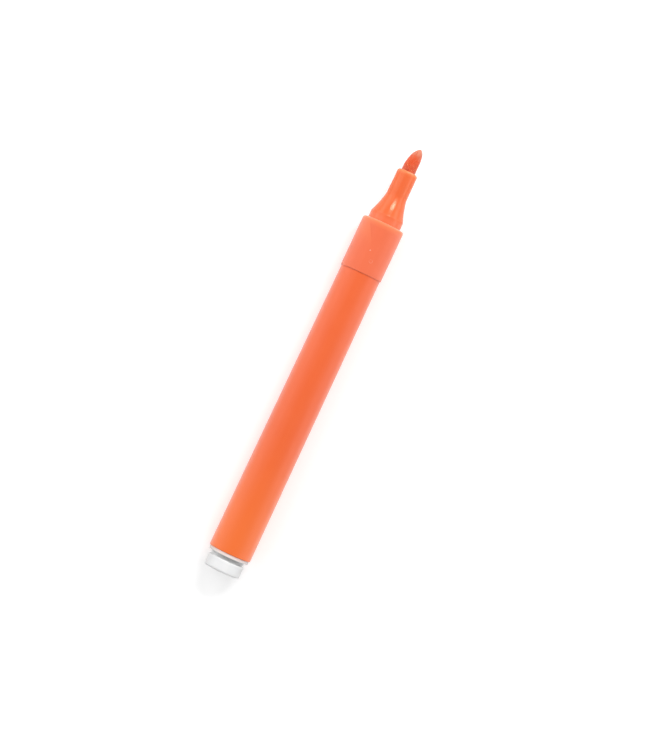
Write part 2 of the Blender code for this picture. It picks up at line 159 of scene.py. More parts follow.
class Value:
    """A number in a node tree. Its operators add Math nodes."""

    def __init__(self, bench: "NodeBench", socket: Socket) -> None:
        """Wraps one output socket of the bench's tree."""
        self.bench = bench
        self.socket = socket

    def _math(self, operation: str, *terms: Number) -> "Value":
        """Adds a Math node on the given terms."""
        return self.bench.value("ShaderNodeMath", {"operation": operation}, dict(enumerate(terms)))

    def __add__(self, other: Number) -> "Value":
        """Sum."""
        return self._math("ADD", self, other)

    __radd__ = __add__

    def __sub__(self, other: Number) -> "Value":
        """Difference."""
        return self._math("SUBTRACT", self, other)

    def __rsub__(self, other: Number) -> "Value":
        """Difference from a plain number."""
        return self._math("SUBTRACT", other, self)

    def __mul__(self, other: Number) -> "Value":
        """Product."""
        return self._math("MULTIPLY", self, other)

    __rmul__ = __mul__

    def __truediv__(self, other: Number) -> "Value":
        """Quotient."""
        return self._math("DIVIDE", self, other)

    def __rtruediv__(self, other: Number) -> "Value":
        """Quotient of a plain number."""
        return self._math("DIVIDE", other, self)

    def __pow__(self, other: Number) -> "Value":
        """Power."""
        return self._math("POWER", self, other)

    def __abs__(self) -> "Value":
        """Size without its sign."""
        return self._math("ABSOLUTE", self)

    def __floor__(self) -> "Value":
        """Whole part, through math.floor."""
        return self._math("FLOOR", self)

    def sine(self) -> "Value":
        """Sine of an angle in radians."""
        return self._math("SINE", self)

    def cosine(self) -> "Value":
        """Cosine of an angle in radians."""
        return self._math("COSINE", self)

    def larger(self, other: Number) -> "Value":
        """The larger of two numbers."""
        return self._math("MAXIMUM", self, other)

    def above(self, other: Number) -> "Value":
        """1 where it is above the other number, else 0."""
        return self._math("GREATER_THAN", self, other)

    def swung(self, size: float) -> "Value":
        """The swing of a noise about its middle, times a size."""
        return (self - 0.5) * size

    def eased(self, low: float, high: float) -> "Value":
        """0 at low and 1 at high with a smooth rise between them. Low may be the larger."""
        inputs = {"Value": self, "From Min": low, "From Max": high}
        return self.bench.value("ShaderNodeMapRange", {"interpolation_type": "SMOOTHSTEP"}, inputs, "Result")


class NodeBench:
    """Adds nodes to one tree, for a shader or for Geometry Nodes."""

    def __init__(self, tree: bpy.types.NodeTree) -> None:
        """Takes the tree that the nodes go to."""
        self.tree = tree

    def node(self, kind: str, settings: Settings = None, inputs: Inputs = None) -> Node:
        """Adds one node.

        Args:
            kind: The node's type name.
            settings: Properties to set first.
            inputs: Values or links, by the input's identifier, name or number.

        Returns:
            The new node.
        """
        node = self.tree.nodes.new(kind)
        for key, setting in (settings or {}).items():
            setattr(node, key, setting)
        for key, value in (inputs or {}).items():
            self.plug(self._input(node, key), value)
        return node

    def value(
        self, kind: str, settings: Settings = None, inputs: Inputs = None, output: str | int = 0
    ) -> Value:
        """Adds one node and wraps one of its outputs, by its name or number."""
        return Value(self, self.node(kind, settings, inputs).outputs[output])

    @staticmethod
    def _input(node: Node, key: str | int) -> Socket:
        """Finds an input.

        Args:
            node: The node.
            key: The input's number, identifier or name.

        Returns:
            The input.
        """
        if isinstance(key, str):
            for socket in node.inputs:
                if socket.identifier == key:
                    return socket
        return node.inputs[key]

    def plug(self, target: Socket, value: Any) -> None:
        """Feeds one input.

        Args:
            target: The input.
            value: A socket or a wrapped one to link to it, or a plain value to set.
        """
        if isinstance(value, Value):
            value = value.socket
        if isinstance(value, Socket):
            self.tree.links.new(value, target)
        elif target.type == "RGBA" and len(value) == 3:
            target.default_value = (*value, 1.0)
        else:
            target.default_value = value

    def vector_math(self, operation: str, *terms: Any) -> Socket:
        """Adds a Vector Math node.

        Args:
            operation: Its operation. A scale has the vector and the number as terms.
            terms: Vectors or links, in order.

        Returns:
            Its vector, or the number of a dot product or distance.
        """
        inputs: dict[str | int, Any] = dict(enumerate(terms))
        if operation == "SCALE":
            inputs = {0: terms[0], "Scale": terms[1]}
        node = self.node("ShaderNodeVectorMath", {"operation": operation}, inputs)
        return node.outputs["Value" if operation in ("DOT_PRODUCT", "DISTANCE") else "Vector"]

    def parts(self, vector: Socket) -> tuple[Value, Value, Value]:
        """The three numbers of a vector."""
        outputs = self.node("ShaderNodeSeparateXYZ", None, {"Vector": vector}).outputs
        return Value(self, outputs[0]), Value(self, outputs[1]), Value(self, outputs[2])

    def random(self, least: Triple | float, most: Triple | float, seed: int) -> Socket:
        """Adds a Random Value node.

        Args:
            least: The smallest number, or vector of them.
            most: The largest number, or vector of them.
            seed: Its seed.

        Returns:
            A random number or vector for each point.
        """
        kind, output, ending = ("FLOAT", 1, "_001") if isinstance(least, float) else ("FLOAT_VECTOR", 0, "")
        inputs = {"Min" + ending: least, "Max" + ending: most, "Seed": seed}
        return self.node("FunctionNodeRandomValue", {"data_type": kind}, inputs).outputs[output]


class Coat(NodeBench):
    """The bench of one material: its shader, and the place on the piece in millimetres."""

    def __init__(self, material: bpy.types.Material, constants: Mapping[str, Any]) -> None:
        """Starts a material's tree.

        Args:
            material: The material.
            constants: Shader values that are the same all over the surface.
        """
        material.use_nodes = True
        material.node_tree.nodes.clear()
        super().__init__(material.node_tree)
        self.shader = self.node("ShaderNodeBsdfPrincipled", None, constants)
        self.output = self.node("ShaderNodeOutputMaterial", None, {0: self.shader.outputs["BSDF"]})

    @cached_property
    def place(self) -> Socket:
        """Object coordinates in millimetres, measured from the middle of the marker's axis."""
        spot = self.node("ShaderNodeTexCoord").outputs["Object"]
        middle = (0.0, 0.0, -AXIS_Z * MILLIMETRES)
        inputs = {"Vector": spot, "Location": middle, "Scale": (MILLIMETRES,) * 3}
        return self.node("ShaderNodeMapping", {"vector_type": "POINT"}, inputs).outputs["Vector"]

    @cached_property
    def axes(self) -> tuple[Value, Value, Value]:
        """How far along the axis, across it and up from it the place is."""
        return self.parts(self.place)

    def to_axis(self) -> Value:
        """How far from the marker's axis the place is."""
        _, across, up = self.axes
        return (across * across + up * up) ** 0.5

    def to_spot(self, spot: Triple) -> Value:
        """How far from a spot the place is."""
        return Value(self, self.vector_math("DISTANCE", self.place, spot))

    def noise(self, per_mm: float | Triple, detail: Detail = Detail.SOFT) -> Value:
        """Reads a noise at the place.

        Args:
            per_mm: Features per millimetre, in all directions or along each axis.
            detail: Its octaves.

        Returns:
            The noise, from 0 to 1.
        """
        scale = (per_mm,) * 3 if isinstance(per_mm, float) else per_mm
        spot = self.vector_math("MULTIPLY", self.place, scale)
        return self.value("ShaderNodeTexNoise", None, {"Vector": spot, "Scale": 1.0, "Detail": detail})

    def over(self, colour: Colour | Socket, *layers: tuple[Value, Colour]) -> Socket:
        """Lays colours over a colour.

        Args:
            colour: The lowest colour.
            layers: Share and colour of each layer over it, in order.

        Returns:
            The mixed colour.
        """
        for share, upper in layers:
            inputs = {"Factor_Float": share, "A_Color": colour, "B_Color": upper}
            outputs = self.node("ShaderNodeMix", {"data_type": "RGBA"}, inputs).outputs
            colour = next(socket for socket in outputs if socket.identifier == "Result_Color")
        return colour

    def bump(self, height: Value, distance: float) -> Socket:
        """A normal from a height. A height of 1 stands for the given distance in metres."""
        inputs = {"Height": height, "Distance": distance, "Strength": 1.0}
        return self.node("ShaderNodeBump", None, inputs).outputs["Normal"]

    def seen(self) -> Value:
        """1 for rays from the camera and for those that it sees in gloss or glass, else 0."""
        outputs = self.node("ShaderNodeLightPath").outputs
        camera, gloss, glass = (Value(self, outputs[f"Is {ray} Ray"]) for ray in SEEN_RAYS)
        return camera.larger(gloss).larger(glass)

    def feed(self, colour: Socket, roughness: Value, **others: Socket | Value) -> None:
        """Feeds the shader.

        Args:
            colour: Its base colour.
            roughness: Its roughness.
            others: Other inputs, by their names in lower case.
        """
        fed = {"Base Color": colour, "Roughness": roughness}
        for key, value in {**fed, **{name.title(): value for name, value in others.items()}}.items():
            self.plug(self.shader.inputs[key], value)


@dataclass(frozen=True)
class Finish(ABC):
    """A surface finish: a name, a main colour and a roughness."""

    name: str
    colour: Colour
    roughness: float

    def material(self) -> bpy.types.Material:
        """Builds the finish as a material the first time.

        Returns:
            The material.
        """
        known = bpy.data.materials.get(self.name)
        if known:
            return known
        material = bpy.data.materials.new(self.name)
        self.lay(Coat(material, self.constants()))
        material.diffuse_color = (*self.colour, 1.0)
        return material

    def constants(self) -> dict[str, Any]:
        """Shader values that are the same all over the surface."""
        return {}

    @abstractmethod
    def lay(self, coat: Coat) -> None:
        """Adds the pattern that feeds the coat's shader.

        Args:
            coat: The coat of the material.
        """


@dataclass(frozen=True)
class MouldedPlastic(Finish):
    """Pigmented plastic: flow lines along the axis, soft clouds, a fine spark grain and a few scuffs."""

    flow_colour: Colour = WHITE
    flow_per_mm: Triple = (0.03, 0.5, 0.5)
    flow_share: float = 0.6
    flow_span: Span = (0.36, 0.64)
    cloud_per_mm: float = 0.14
    grain_per_mm: float = 9.0
    grain_height: float = 0.000002
    ripple_height: float = 0.000006
    gloss_swing: float = 0.08
    scuff: float = 0.12
    scuff_per_mm: Triple = (0.7, 7.0, 7.0)
    scuff_span: Span = (0.66, 0.74)
    scuffed_clouds: Span = (0.5, 0.66)
    refraction: float = 1.49
    haze: float = 0.0
    haze_spread: float = 0.5

    def constants(self) -> dict[str, Any]:
        """Refraction of a common plastic, and the haze of its grain."""
        return {"IOR": self.refraction, "Sheen Weight": self.haze, "Sheen Roughness": self.haze_spread}

    def lay(self, coat: Coat) -> None:
        """Adds the plastic's own pattern, and the marks of the piece.

        Args:
            coat: The coat of the material.
        """
        flow = coat.noise(self.flow_per_mm, Detail.FINE)
        cloud = coat.noise(self.cloud_per_mm)
        grain = coat.noise(self.grain_per_mm)
        scuffs = coat.noise(self.scuff_per_mm).eased(*self.scuff_span) * cloud.eased(*self.scuffed_clouds)
        tint = (flow * self.flow_share + cloud * (1.0 - self.flow_share)).eased(*self.flow_span)
        colour = coat.over(self.colour, (tint, self.flow_colour))
        roughness = self.roughness + cloud.swung(self.gloss_swing) + grain.swung(self.gloss_swing)
        height = grain * (self.grain_height / self.ripple_height) + cloud
        normal = coat.bump(height, self.ripple_height)
        coat.feed(self.marked(coat, colour), roughness + scuffs * self.scuff, normal=normal)

    def marked(self, coat: Coat, colour: Socket) -> Socket:
        """The plastic's colour with the marks that one piece has of its own."""
        return colour


@dataclass(frozen=True)
class BarrelPlastic(MouldedPlastic):
    """The tank's satin plastic, which is warmer towards its tail."""

    tail_colour: Colour = WHITE
    tail_span: Span = (-20.0, -60.0)

    def marked(self, coat: Coat, colour: Socket) -> Socket:
        """The plastic's colour, warmed towards the tail."""
        return coat.over(colour, (coat.axes[0].eased(*self.tail_span), self.tail_colour))


@dataclass(frozen=True)
class CollarPlastic(MouldedPlastic):
    """The collar's matt plastic: a painted highlight on its front edge, a painted reflection beside a darker
    diagonal line, a fleck and the trace of an ejector pin.
    """

    # Painted highlight: on the front edge, and as the paler side of the diagonal line.
    highlight_colour: Colour = WHITE
    front_highlight_span: Span = (41.4, 43.7)
    # A darker diagonal line across the top. The plastic on one side of it is paler, which is a painted
    # reflection.
    diagonal_line_colour: Colour = (0.85, 0.12, 0.03)
    diagonal_slope: float = 0.5486
    diagonal_middle: float = 35.54
    diagonal_share: float = 0.3
    diagonal_line_span: Span = (0.3, 0.05)
    reflection_side: Span = (-0.1, 0.5)
    diagonal_from: Span = (35.0, 40.0)
    diagonal_top: Span = (1.0, 3.5)
    fleck_colour: Colour = WHITE
    fleck_share: float = 0.6
    fleck_spot: Triple = (34.7, 0.3, 6.37)
    fleck_span: Span = (0.26, 0.104)
    pin_spot: Triple = (31.86, -1.2, 6.26)
    pin_radius: float = 0.5
    pin_line: Span = (0.16, 0.02)
    pin_share: float = 0.35
    pin_gaps_per_mm: float = 1.4
    pin_gaps: Span = (0.42, 0.6)

    def marked(self, coat: Coat, colour: Socket) -> Socket:
        """Adds the painted highlight on the front edge, the darker diagonal line with a painted reflection on
        one side, the fleck and the pin's ring.

        Args:
            coat: The coat of the material.
            colour: The plastic's colour so far.

        Returns:
            The marked colour.
        """
        along, across, up = coat.axes
        # The diagonal line, with a painted reflection on one side of it.
        diagonal = across - (along - self.diagonal_middle) * self.diagonal_slope
        clear = up.eased(*self.diagonal_top) * along.eased(*self.diagonal_from) * self.diagonal_share
        broken = coat.noise(self.pin_gaps_per_mm, Detail.PLAIN).eased(*self.pin_gaps)
        ring = abs(coat.to_spot(self.pin_spot) - self.pin_radius).eased(*self.pin_line) * broken
        fleck = coat.to_spot(self.fleck_spot).eased(*self.fleck_span).larger(ring * self.pin_share)
        return coat.over(
            colour,
            (diagonal.eased(*self.reflection_side) * clear, self.highlight_colour),
            (abs(diagonal).eased(*self.diagonal_line_span) * clear, self.diagonal_line_colour),
            # Painted highlight on the front edge.
            (along.eased(*self.front_highlight_span), self.highlight_colour),
            (fleck * self.fleck_share, self.fleck_colour),
        )


@dataclass(frozen=True)
class NosePlastic(MouldedPlastic):
    """The nose's gloss plastic: a painted highlight on its rim, with ink dried in the bore round the nib."""

    gloss: float = 0.38
    gloss_tint: Colour = (1.0, 0.92, 0.72)
    foot_colour: Colour = (0.88, 0.185, 0.078)
    foot_span: Span = (47.0, 44.2)
    # Painted highlight on the rim, and a brighter painted glint in patches on one side of it.
    rim_highlight_colour: Colour = WHITE
    rim_span: Span = (58.7, 60.1)
    glint_colour: Colour = (0.98, 0.4, 0.22)
    glint_span: Span = (59.7, 60.0)
    glint_side: Span = (0.8, -1.0)
    glint_patches: Span = (0.3, 0.6)
    patch_per_mm: float = 1.2
    ink_colour: Colour = (0.5, 0.05, 0.02)
    ink_share: float = 0.7
    ink_span: Span = (2.75, 2.45)
    ink_fringe: float = 0.5

    def constants(self) -> dict[str, Any]:
        """The plastic's constants, with gloss that takes a warm tint."""
        return {**super().constants(), "Specular IOR Level": self.gloss, "Specular Tint": self.gloss_tint}

    def marked(self, coat: Coat, colour: Socket) -> Socket:
        """Adds the pinker foot, the painted highlight on the rim with a painted glint on one side, and the
        ink round the bore.

        Args:
            coat: The coat of the material.
            colour: The plastic's colour so far.

        Returns:
            The marked colour.
        """
        along, across, _ = coat.axes
        patches = coat.noise(self.patch_per_mm)
        # The rim band, which carries the painted highlight and the ink.
        rim = along.eased(*self.rim_span)
        # Painted glint in patches on one side of the rim.
        glint = along.eased(*self.glint_span) * across.eased(*self.glint_side)
        ink = rim * (coat.to_axis() + patches * self.ink_fringe).eased(*self.ink_span)
        return coat.over(
            colour,
            (along.eased(*self.foot_span), self.foot_colour),
            (rim, self.rim_highlight_colour),
            (glint * patches.eased(*self.glint_patches), self.glint_colour),
            (ink * self.ink_share, self.ink_colour),
        )


@dataclass(frozen=True)
class WhitePlastic(MouldedPlastic):
    """Milky plug plastic: light enters it, with painted orange light on its lip, painted shade in its groove
    and painted shade towards its sides.
    """

    milk: float = 0.12
    milk_depth: float = 0.0006
    milk_tint: Colour = (1.0, 0.9, 0.8)
    # Painted orange light from the barrel, on the plug's lip.
    lip_glow_colour: Colour = (1.0, 0.62, 0.5)
    lip_glow_share: float = 0.42
    lip_glow_span: Span = (-62.8, -62.45)
    # Painted shade: in the groove and on the head's shoulder behind it, deeper on one side, and towards the
    # plug's sides.
    painted_shade_colour: Colour = (0.45, 0.45, 0.45)
    groove_shade_share: float = 0.5
    groove_shade_side: Span = (4.0, -1.0)
    groove_shade_side_share: float = 0.3
    groove_shade_depth: Span = (5.7, 5.3)
    groove_shade_fringe: float = 0.3
    patch_per_mm: float = 0.9
    groove: float = -63.4
    groove_span: Span = (1.0, 0.4)
    # Painted shade that grows towards the plug's sides.
    side_shade: float = 0.0165

    def constants(self) -> dict[str, Any]:
        """Light that enters the surface a little."""
        return {
            "IOR": self.refraction,
            "Subsurface Weight": self.milk,
            "Subsurface Radius": self.milk_tint,
            "Subsurface Scale": self.milk_depth,
        }

    def marked(self, coat: Coat, colour: Socket) -> Socket:
        """Adds painted orange light on the lip, painted shade in the groove and painted shade that grows
        towards the sides.

        Args:
            coat: The coat of the material.
            colour: The plastic's colour so far.

        Returns:
            The marked colour.
        """
        along, across, _ = coat.axes
        depth = coat.to_axis() + coat.noise(self.patch_per_mm) * self.groove_shade_fringe
        # Painted shade in the groove and on the shoulder behind it, deeper on one side.
        dust = abs(along - self.groove).eased(*self.groove_span) * depth.eased(*self.groove_shade_depth)
        dust = dust * (self.groove_shade_share + across.eased(*self.groove_shade_side) * self.groove_shade_side_share)
        return coat.over(
            colour,
            # Painted orange light on the lip.
            (along.eased(*self.lip_glow_span) * self.lip_glow_share, self.lip_glow_colour),
            # Painted shade towards the sides, or in the groove, whichever is deeper.
            ((across * across * self.side_shade).larger(dust), self.painted_shade_colour),
        )


@dataclass(frozen=True)
class FibreFinish(Finish):
    """Bonded fibre soaked with ink: streaks along the fibres, blots and specks at the rim, a paler point."""

    gloss: float = 0.25
    nap: float = 0.5
    nap_spread: float = 0.5
    fibre_per_mm: Triple = (0.5, 9.0, 9.0)
    fibre_height: float = 0.00006
    fibre_span: Span = (0.5, 0.75)
    fibre_share: float = 0.2
    fibre_gloss: float = 0.15
    blot_per_mm: Triple = (0.9, 1.3, 1.3)
    wet_colour: Colour = (0.55, 0.045, 0.016)
    wet_share: float = 0.6
    wet_span: Span = (63.8, 61.4)
    wet_fringe: float = 2.4
    wet_gloss: float = 0.3
    dry_colour: Colour = (0.7, 0.275, 0.168)
    dry_share: float = 0.85
    dry_span: Span = (63.6, 67.0)
    dry_blots: float = 3.0
    dry_streaks: float = 2.0
    speck_per_mm: Triple = (3.4, 3.8, 3.8)
    dark_speck: Colour = (0.3, 0.05, 0.02)
    dark_share: float = 0.8
    dark_span: Span = (0.6, 0.68)
    gold_speck: Colour = (0.85, 0.42, 0.13)
    gold_share: float = 0.7
    gold_span: Span = (0.4, 0.32)

    def constants(self) -> dict[str, Any]:
        """Dull, as fibre is."""
        return {
            "Specular IOR Level": self.gloss,
            "Sheen Weight": self.nap,
            "Sheen Roughness": self.nap_spread,
        }

    def lay(self, coat: Coat) -> None:
        """Adds streaks, wet and dry fibre, and specks.

        Args:
            coat: The coat of the material.
        """
        along = coat.axes[0]
        fibres = coat.noise(self.fibre_per_mm, Detail.FINE)
        blots = coat.noise(self.blot_per_mm)
        specks = coat.noise(self.speck_per_mm, Detail.PLAIN)
        wet = (along + blots * self.wet_fringe).eased(*self.wet_span)
        dry = (along + blots.swung(self.dry_blots) + fibres.swung(self.dry_streaks)).eased(*self.dry_span)
        colour = coat.over(
            self.colour,
            (wet * self.wet_share, self.wet_colour),
            (dry * self.dry_share, self.dry_colour),
            (fibres.eased(*self.fibre_span) * self.fibre_share, self.dry_colour),
            (specks.eased(*self.dark_span) * wet * self.dark_share, self.dark_speck),
            (specks.eased(*self.gold_span) * wet * self.gold_share, self.gold_speck),
        )
        roughness = self.roughness - wet * self.wet_gloss + fibres.swung(self.fibre_gloss)
        coat.feed(colour, roughness, normal=coat.bump(fibres, self.fibre_height))


@dataclass(frozen=True)
class StrandFinish(Finish):
    """Single fibres, each with its own tone."""

    pale_colour: Colour = WHITE
    tone_per_mm: Triple = (0.3, 5.0, 5.0)
    tone_span: Span = (0.35, 0.65)
    dry_span: Span = (60.0, 67.0)
    dry_roughness: float = 0.2

    def lay(self, coat: Coat) -> None:
        """Adds tones, and duller fibres towards the point.

        Args:
            coat: The coat of the material.
        """
        tone = coat.noise(self.tone_per_mm, Detail.PLAIN).eased(*self.tone_span)
        dry = coat.axes[0].eased(*self.dry_span)
        coat.feed(coat.over(self.colour, (tone, self.pale_colour)), self.roughness + dry * self.dry_roughness)


@dataclass(frozen=True)
class GlitterFinish(Finish):
    """Foil flecks, each a little different in colour and gloss."""

    second_colour: Colour = WHITE
    tone_per_mm: float = 2.5
    tone_span: Span = (0.35, 0.65)
    tone_roughness: float = 0.15
    metal: float = 0.9
    tone_metal: float = 0.3

    def lay(self, coat: Coat) -> None:
        """Adds tones that change from fleck to fleck.

        Args:
            coat: The coat of the material.
        """
        tone = coat.noise(self.tone_per_mm, Detail.PLAIN).eased(*self.tone_span)
        colour = coat.over(self.colour, (tone, self.second_colour))
        roughness = self.roughness + tone * self.tone_roughness
        coat.feed(colour, roughness, metallic=self.metal - tone * self.tone_metal)


@dataclass(frozen=True)
class RubberFinish(Finish):
    """Black rubber with a bloom of pale dust."""

    bloom_colour: Colour = (0.09, 0.09, 0.09)
    bloom_per_mm: float = 1.5
    bloom_span: Span = (0.4, 0.75)
    pit_per_mm: float = 11.0
    pit_depth: float = 0.00001
    pit_roughness: float = 0.2

    def lay(self, coat: Coat) -> None:
        """Adds the bloom and fine pits.

        Args:
            coat: The coat of the material.
        """
        bloom = coat.noise(self.bloom_per_mm, Detail.FINE).eased(*self.bloom_span)
        pits = coat.noise(self.pit_per_mm)
        colour = coat.over(self.colour, (bloom, self.bloom_colour))
        roughness = self.roughness + pits.swung(self.pit_roughness)
        coat.feed(colour, roughness, normal=coat.bump(pits, self.pit_depth))


@dataclass(frozen=True)
class SteelFinish(Finish):
    """Steel with fine scratches and a thin film of ink."""

    film_colour: Colour = (0.75, 0.4, 0.28)
    film_per_mm: float = 0.5
    film_span: Span = (0.52, 0.7)
    film_share: float = 0.5
    film_roughness: float = 0.15
    film_cover: float = 0.2
    scratch_per_mm: Triple = (0.8, 12.0, 12.0)
    scratch_depth: float = 0.000004
    scratch_roughness: float = 0.16

    def lay(self, coat: Coat) -> None:
        """Adds the scratches and the film.

        Args:
            coat: The coat of the material.
        """
        scratches = coat.noise(self.scratch_per_mm, Detail.FINE)
        film = coat.noise(self.film_per_mm).eased(*self.film_span)
        colour = coat.over(self.colour, (film * self.film_share, self.film_colour))
        roughness = self.roughness + scratches.swung(self.scratch_roughness) + film * self.film_roughness
        normal = coat.bump(scratches, self.scratch_depth)
        coat.feed(colour, roughness, metallic=1.0 - film * self.film_cover, normal=normal)


@dataclass(frozen=True)
class TableFinish(Finish):
    """White table: bright to the camera and in reflections, and it keeps the marker's shadow."""

    second_colour: Colour = WHITE
    tone_per_mm: float = 0.02
    tone_roughness: float = 0.02
    glow: Colour = (0.28, 0.28, 0.28)
    far_glow: Colour = (0.8, 0.8, 0.8)
    far_span: Span = (300.0, 900.0)

    def lay(self, coat: Coat) -> None:
        """Adds a faint tone, and a glow that grows far from the marker.

        Args:
            coat: The coat of the material.
        """
        tone = coat.noise(self.tone_per_mm)
        colour = coat.over(self.colour, (tone, self.second_colour))
        coat.feed(colour, self.roughness + tone * self.tone_roughness)
        along, across, _ = coat.axes
        far = ((along * along + across * across) ** 0.5).eased(*self.far_span)
        inputs = {"Color": coat.over(self.glow, (far, self.far_glow)), "Strength": coat.seen()}
        glow = coat.node("ShaderNodeEmission", None, inputs)
        inputs = {0: coat.shader.outputs["BSDF"], 1: glow.outputs["Emission"]}
        mixed = coat.node("ShaderNodeAddShader", None, inputs)
        coat.plug(coat.output.inputs["Surface"], mixed.outputs["Shader"])


@dataclass(frozen=True)
class Reach:
    """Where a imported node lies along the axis, and its largest radius."""

    rear: float
    front: float
    radius: float

    @classmethod
    def of(cls, node: str) -> "Reach":
        """Measures one node of the frame."""
        low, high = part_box(node)
        return cls(low.x, high.x, (high.z - low.z) / 2)


def round_corner(before: Vector, here: Vector, after: Vector, size: float) -> list[Vector]:
    """Rounds one corner of a profile with a true arc.

    Args:
        before: The corner before it.
        here: The corner.
        after: The corner after it.
        size: Radius of the rounding, cut down where the sides are short.

    Returns:
        Points along the arc, or the corner itself if it is hardly bent.
    """
    back, ahead = before - here, after - here
    half = back.angle(ahead) / 2
    if half > FLAT_CORNER:
        return [here]
    cut = min(size / math.tan(half), LONGEST_CUT * back.length, LONGEST_CUT * ahead.length)
    start, end = here + back.normalized() * cut, here + ahead.normalized() * cut
    weight = math.sin(half)
    points = []
    for step in range(ROUND_STEPS + 1):
        share = step / ROUND_STEPS
        low, middle, high = (1 - share) ** 2, 2 * weight * share * (1 - share), share**2
        points.append((start * low + here * middle + end * high) / (low + middle + high))
    return points


def straight_run(start: Vector, end: Vector) -> list[Vector]:
    """Points along a long straight side, with one close to each end so that its shading stays flat.

    Args:
        start: Where the side begins.
        end: Where it ends.

    Returns:
        The points between them, or none on a short side.
    """
    length = (end - start).length
    if length < LONG_RUN:
        return []
    pieces = max(1, round(length / RUN_STEP))
    shares = [SUPPORT / length, *(step / pieces for step in range(1, pieces)), 1 - SUPPORT / length]
    return [start.lerp(end, share) for share in shares]


def profile_points(corners: Sequence[Corner], closed: bool) -> list[Point]:
    """Rounds a profile's corners and spaces points along its sides.

    Args:
        corners: Place along the axis, radius and rounding of each corner, in order.
        closed: Whether the last corner joins the first. An open profile starts and ends on the axis.

    Returns:
        Points (place along the axis, radius). A closed profile ends where it starts.
    """
    spots = [Vector(corner[:2]) for corner in corners]
    arcs = []
    for index, here in enumerate(spots):
        end_point = not closed and index in (0, len(spots) - 1)
        size = Edge.SHARP if end_point else corners[index][2]
        before, after = spots[index - 1], spots[(index + 1) % len(spots)]
        arcs.append([here] if size == Edge.SHARP else round_corner(before, here, after, size))
    if closed:
        arcs.append([arcs[0][0]])
    points = list(arcs[0])
    for arc in arcs[1:]:
        points += straight_run(points[-1], arc[0])
        points += arc
    return [(point.x, point.y) for point in points]


def make_object(name: str, mesh: bpy.types.Mesh) -> Piece:
    """Adds a mesh to the scene.

    Args:
        name: Name of the object.
        mesh: The mesh.

    Returns:
        The object, at the origin.
    """
    obj = bpy.data.objects.new(name, mesh)
    bpy.context.scene.collection.objects.link(obj)
    return obj


class Tree:
    """A Geometry Nodes tree with named inputs, and the bench to build it."""

    def __init__(self, name: str, numbers: Sequence[str], counts: Sequence[str] = ()) -> None:
        """Starts a tree.

        Args:
            name: Name of the tree.
            numbers: Names of its inputs that are sizes or other numbers.
            counts: Names of its inputs that are whole numbers.
        """
        self.tree = bpy.data.node_groups.new(name, "GeometryNodeTree")
        self.bench = NodeBench(self.tree)
        kinds = {
            "Geometry": "NodeSocketGeometry",
            **dict.fromkeys(numbers, "NodeSocketFloat"),
            **dict.fromkeys(counts, "NodeSocketInt"),
            "Finish": "NodeSocketMaterial",
        }
        face = self.tree.interface
        self.identifiers = {
            key: face.new_socket(key, in_out="INPUT", socket_type=kind).identifier
            for key, kind in kinds.items()
        }
        face.new_socket("Geometry", in_out="OUTPUT", socket_type="NodeSocketGeometry")
        self.given = self.bench.node("NodeGroupInput")

    def input(self, name: str) -> Socket:
        """The socket of one named input."""
        return self.given.outputs[name]

    def number(self, name: str) -> Value:
        """One named input as a number to reckon with."""
        return Value(self.bench, self.given.outputs[name])

    def close(self, geometry: Socket) -> None:
        """Ends the tree: smooth shading, real geometry and the finish.

        Args:
            geometry: What the tree has made.
        """
        smooth = self.bench.node("GeometryNodeSetShadeSmooth", None, {0: geometry})
        real = self.bench.node("GeometryNodeRealizeInstances", None, {0: smooth.outputs[0]})
        inputs = {"Geometry": real.outputs[0], "Material": self.input("Finish")}
        painted = self.bench.node("GeometryNodeSetMaterial", None, inputs)
        self.bench.node("NodeGroupOutput", None, {0: painted.outputs[0]})

    def run(self, name: str, start: bpy.types.Mesh, finish: Finish, values: Mapping[str, Any]) -> Piece:
        """Runs the tree and keeps its result as a plain mesh.

        Args:
            name: Name of the new piece.
            start: Mesh that the tree starts from.
            finish: The piece's finish.
            values: Values of the other named inputs.

        Returns:
            The piece, with no modifier left on it.
        """
        obj = make_object(name, start)
        modifier = obj.modifiers.new(self.tree.name, "NODES")
        modifier.node_group = self.tree
        for key, value in {**values, "Finish": finish.material()}.items():
            modifier[self.identifiers[key]] = value
        bpy.context.view_layer.update()
        evaluated = obj.evaluated_get(bpy.context.evaluated_depsgraph_get())
        obj.data = bpy.data.meshes.new_from_object(evaluated)
        obj.modifiers.clear()
        obj.data.name = name
        bpy.data.meshes.remove(start)
        return obj


def close_mesh(obj: Piece) -> Piece:
    """Turns a closed mesh's faces outwards and marks its sharp edges.

    Args:
        obj: The piece.

    Returns:
        The same piece.
    """
    mesh = bmesh.new()
    mesh.from_mesh(obj.data)
    bmesh.ops.remove_doubles(mesh, verts=mesh.verts, dist=MERGE_DISTANCE)
    bmesh.ops.recalc_face_normals(mesh, faces=mesh.faces)
    mesh.to_mesh(obj.data)
    mesh.free()
    obj.data.shade_smooth()
    obj.data.set_sharp_from_angle(angle=SHARP_ANGLE)
    return obj


